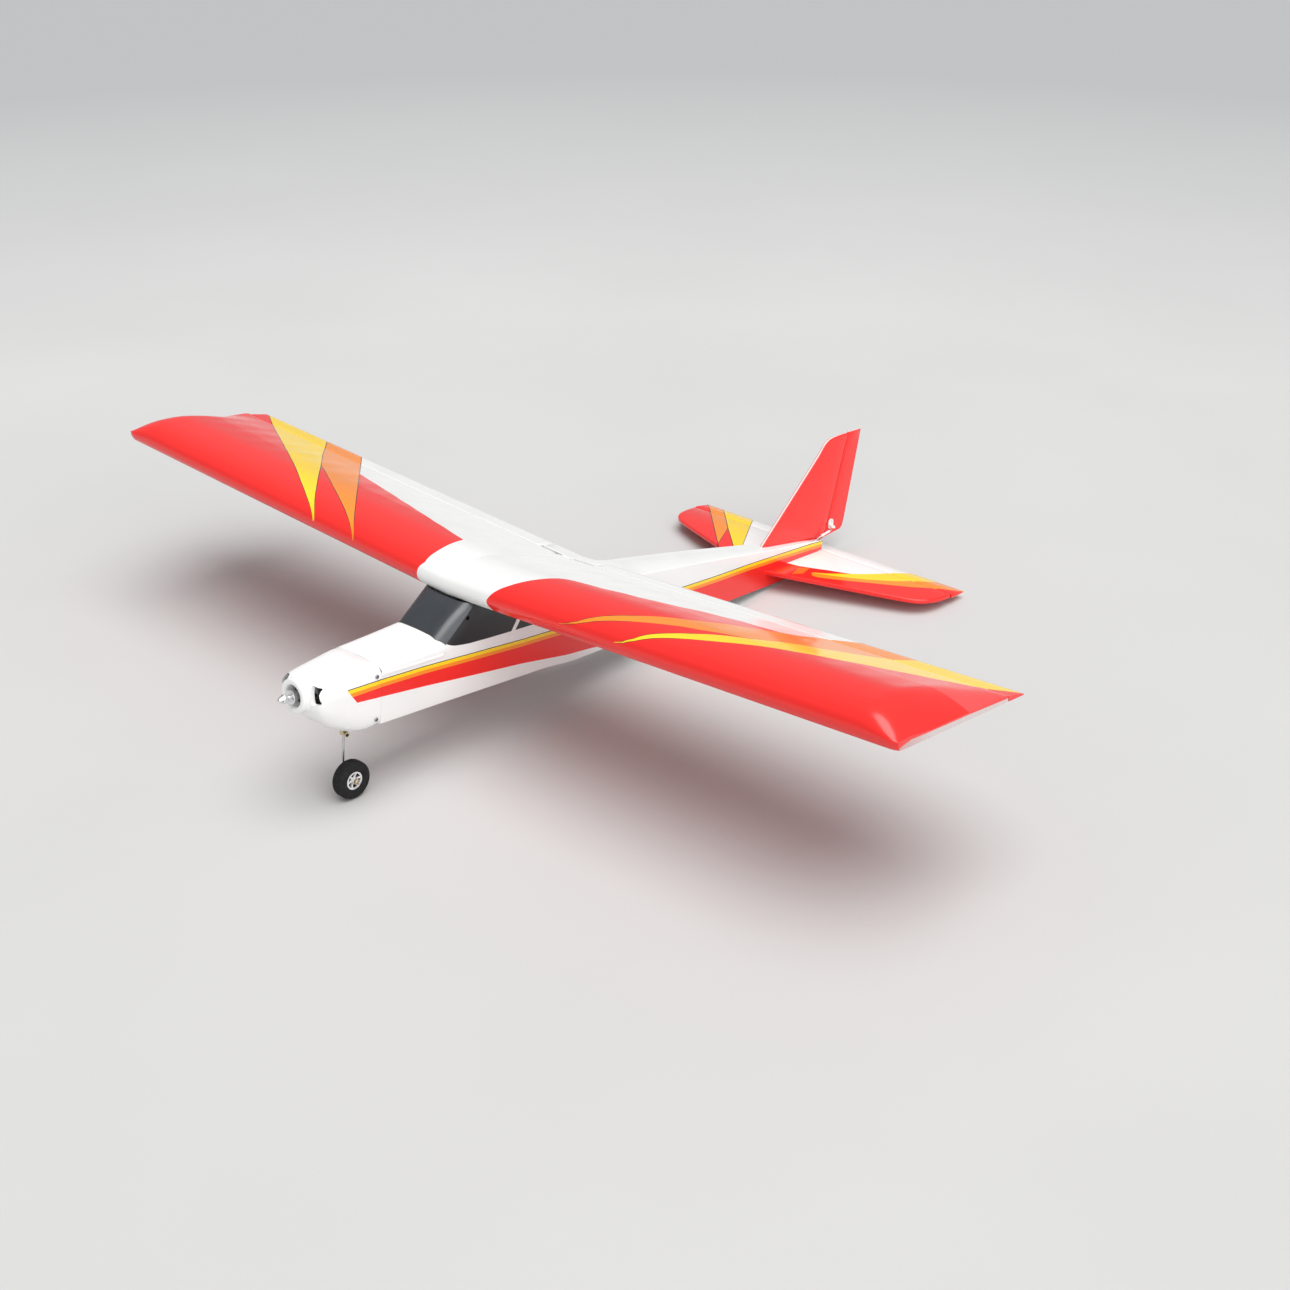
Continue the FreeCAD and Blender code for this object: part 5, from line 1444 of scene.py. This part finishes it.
# ------------------------------------------------------------------ rods, smoothly bent
ROD = {
    "rudder_pushrod": ("rudder_rod", [(6, 131, -58.6), (6, 150, -58.6), (8, 300, -90), (5.5, 846, -101), (5.6, 860, -99.5), (6.6, 880, -89.4), (15.6, 902.6, -77.6)]),
    "elevator_pushrod": ("elevator_rod", [(-6, 131, -58.6), (-6, 150, -58.6), (-10, 300, -96), (-9.3, 780, -126.6), (-9.3, 884, -126.6)]),
    "steering_pushrod": ("steering_rod", [(34, 128, -58.6), (34, 92, -58.6), (31, 60, -98), (31, -17, -100), (30, -125, -104), (20, -143, -106), (20, -183.5, -106)]),
}
for nm, (body, path) in ROD.items():
    ob = tube(nm.replace("_pushrod", "_control_wire"), densify(rounded(path, 9.0, 5), 30.0), 1.0, [M["steel"]], n=12)
    if nm == "rudder_pushrod":
        a_, b_ = np.array((6.6, 880, -89.4)), np.array((15.6, 902.6, -77.6))
        u_ = (b_ - a_) / np.linalg.norm(b_ - a_)
        L_ = float(np.linalg.norm(b_ - a_))
        ob = joined(ob.name, [ob, lathe("clevis", [(4.5, 1.02), (4.5, 1.9), (5.2, 2.2), (10.5, 2.2), (11.2, 1.75), (14.5, 1.75), (15.2, 2.1), (L_ - 4.6, 2.1), (L_ - 4.2, 1.7), (L_ - 4.2, 1.02)], a_, u_, [M["nylon"]], n=20, closed=True)])
    finish_mesh(ob, 40)
    place(ob, body, "steel", nm)

# ------------------------------------------------------------------ CAD nodes that stay: procedural finishes
KEEP = {
    "firewall": "ply", "former_front": "ply_black", "former_rear": "ply", "tail_formers": "ply", "equipment_trays": "ply", "main_gear_block": "ply", "dihedral_brace": "ply",
    "wing_ribs": "balsa", "wing_spars": "balsa", "motor_mount": "alu", "speed_controller": "case", "battery_pack": "wrap", "receiver": "case", "rudder_servo": "case",
    "elevator_servo": "case", "aileron_servo": "case", "nose_leg_bracket": "case", "rudder_servo_arm": "nylon", "elevator_servo_arm": "nylon", "aileron_servo_arm": "nylon",
    "steering_arm": "nylon", "tail_hinges": "nylon", "aileron_hinges": "nylon", "torque_rod_port": "steel", "torque_rod_starboard": "steel", "aileron_link_port": "steel",
    "aileron_link_starboard": "steel",
}
for nm, mk in KEEP.items():
    o = NODES[nm]
    o.data.materials.clear()
    o.data.materials.append(M[mk])
    o.data.shade_smooth()
    o.data.set_sharp_from_angle(angle=math.radians(30))

# ------------------------------------------------------------------ stage, light, camera
me = bpy.data.meshes.new("floor")
nf = 24
R_ = 14.0
me.from_pydata([(R_ * (2 * i / nf - 1), R_ * (2 * j / nf - 1), -0.0002) for j in range(nf + 1) for i in range(nf + 1)], [],
               [(j * (nf + 1) + i, j * (nf + 1) + i + 1, (j + 1) * (nf + 1) + i + 1, (j + 1) * (nf + 1) + i) for j in range(nf) for i in range(nf)])
floor = bpy.data.objects.new("floor", me)
bpy.context.scene.collection.objects.link(floor)
k = NT("floor_paint")
tc = k.n("ShaderNodeTexCoord")
nz = k.n("ShaderNodeTexNoise")
k.l(tc.outputs["Object"], nz.inputs["Vector"])
nz.inputs["Scale"].default_value = 1.3
nz.inputs["Detail"].default_value = 5.0
ln = k.n("ShaderNodeVectorMath", operation="LENGTH")
k.l(tc.outputs["Object"], ln.inputs[0])
# painted shade: the floor is painted darker with distance from the aeroplane, where the studio light falls off
far = k.span(ln.outputs["Value"], 1.9, 5.2, 0.0, 1.0)
tone = k.mix(k.span(nz.outputs["Fac"], 0.3, 0.7, 0.0, 1.0), (0.545, 0.545, 0.540), (0.570, 0.570, 0.566))
k.set(colour=k.mix(far, tone, (0.40, 0.405, 0.41)), rough=0.6, spec=0.25)
me.materials.append(k.mat)

world = bpy.data.worlds.new("studio")
bpy.context.scene.world = world
world.use_nodes = True
wt = world.node_tree
wt.nodes.clear()
wo = wt.nodes.new("ShaderNodeOutputWorld")
wb = wt.nodes.new("ShaderNodeBackground")
tcw = wt.nodes.new("ShaderNodeTexCoord")
sp_ = wt.nodes.new("ShaderNodeSeparateXYZ")
wt.links.new(tcw.outputs["Generated"], sp_.inputs[0])
rp = wt.nodes.new("ShaderNodeValToRGB")
mr = wt.nodes.new("ShaderNodeMapRange")
wt.links.new(sp_.outputs[2], mr.inputs[0])
mr.inputs[1].default_value = -0.3
mr.inputs[2].default_value = 1.0
wt.links.new(mr.outputs[0], rp.inputs[0])
rp.color_ramp.elements[0].position = 0.0
rp.color_ramp.elements[0].color = (0.62, 0.62, 0.63, 1)
rp.color_ramp.elements[1].position = 1.0
rp.color_ramp.elements[1].color = (1.0, 1.0, 1.0, 1)
e = rp.color_ramp.elements.new(0.45)
e.color = (0.60, 0.61, 0.63, 1)
wt.links.new(rp.outputs[0], wb.inputs["Color"])
wb.inputs["Strength"].default_value = 0.52
wt.links.new(wb.outputs[0], wo.inputs["Surface"])


def area(name, loc, target, size, power, colour=(1, 1, 1), size_y=None):
    ld = bpy.data.lights.new(name, "AREA")
    ld.energy = power
    ld.color = colour
    ld.shape = "RECTANGLE" if size_y else "SQUARE"
    ld.size = size
    if size_y:
        ld.size_y = size_y
    ob = bpy.data.objects.new(name, ld)
    ob.location = loc
    d = Vector(target) - Vector(loc)
    ob.rotation_euler = d.to_track_quat("-Z", "Y").to_euler()
    bpy.context.scene.collection.objects.link(ob)
    return ob


def sun(name, toward, energy, spread, colour=(1, 1, 1)):
    """A very large, far light. toward is the direction from the object to the light."""
    ld = bpy.data.lights.new(name, "SUN")
    ld.energy = energy
    ld.angle = math.radians(spread)
    ld.color = colour
    ob = bpy.data.objects.new(name, ld)
    ob.rotation_euler = (-Vector(toward)).to_track_quat("-Z", "Y").to_euler()
    ob.location = Vector(toward) * 4
    bpy.context.scene.collection.objects.link(ob)
    return ob


sun("key", (0.24, -0.02, 1.0), 2.62, 56, (1.0, 0.998, 0.992))
sun("fill", (0.84, -0.42, 0.24), 1.62, 70, (1.0, 0.995, 0.99))

cam_d = bpy.data.cameras.new("camera")
cam = bpy.data.objects.new("camera", cam_d)
bpy.context.scene.collection.objects.link(cam)
bpy.context.scene.camera = cam
AZ_, EL_, RO_ = math.radians(42.406), math.radians(26.749), math.radians(-0.149)
back = Vector((math.sin(AZ_) * math.cos(EL_), -math.cos(AZ_) * math.cos(EL_), math.sin(EL_)))
right = Vector((math.cos(AZ_), math.sin(AZ_), 0.0))
up = back.cross(right)
r2 = right * math.cos(RO_) + up * math.sin(RO_)
u2 = up * math.cos(RO_) - right * math.sin(RO_)
cam.matrix_world = Matrix(((r2.x, u2.x, back.x, 1.8571), (r2.y, u2.y, back.y, -1.95487), (r2.z, u2.z, back.z, 1.38402), (0, 0, 0, 1)))
cam_d.sensor_width = 36.0
cam_d.lens = 1904.94 / 1290.0 * 36.0
cam_d.clip_end = 60.0
bpy.context.scene.view_settings.view_transform = "Standard"

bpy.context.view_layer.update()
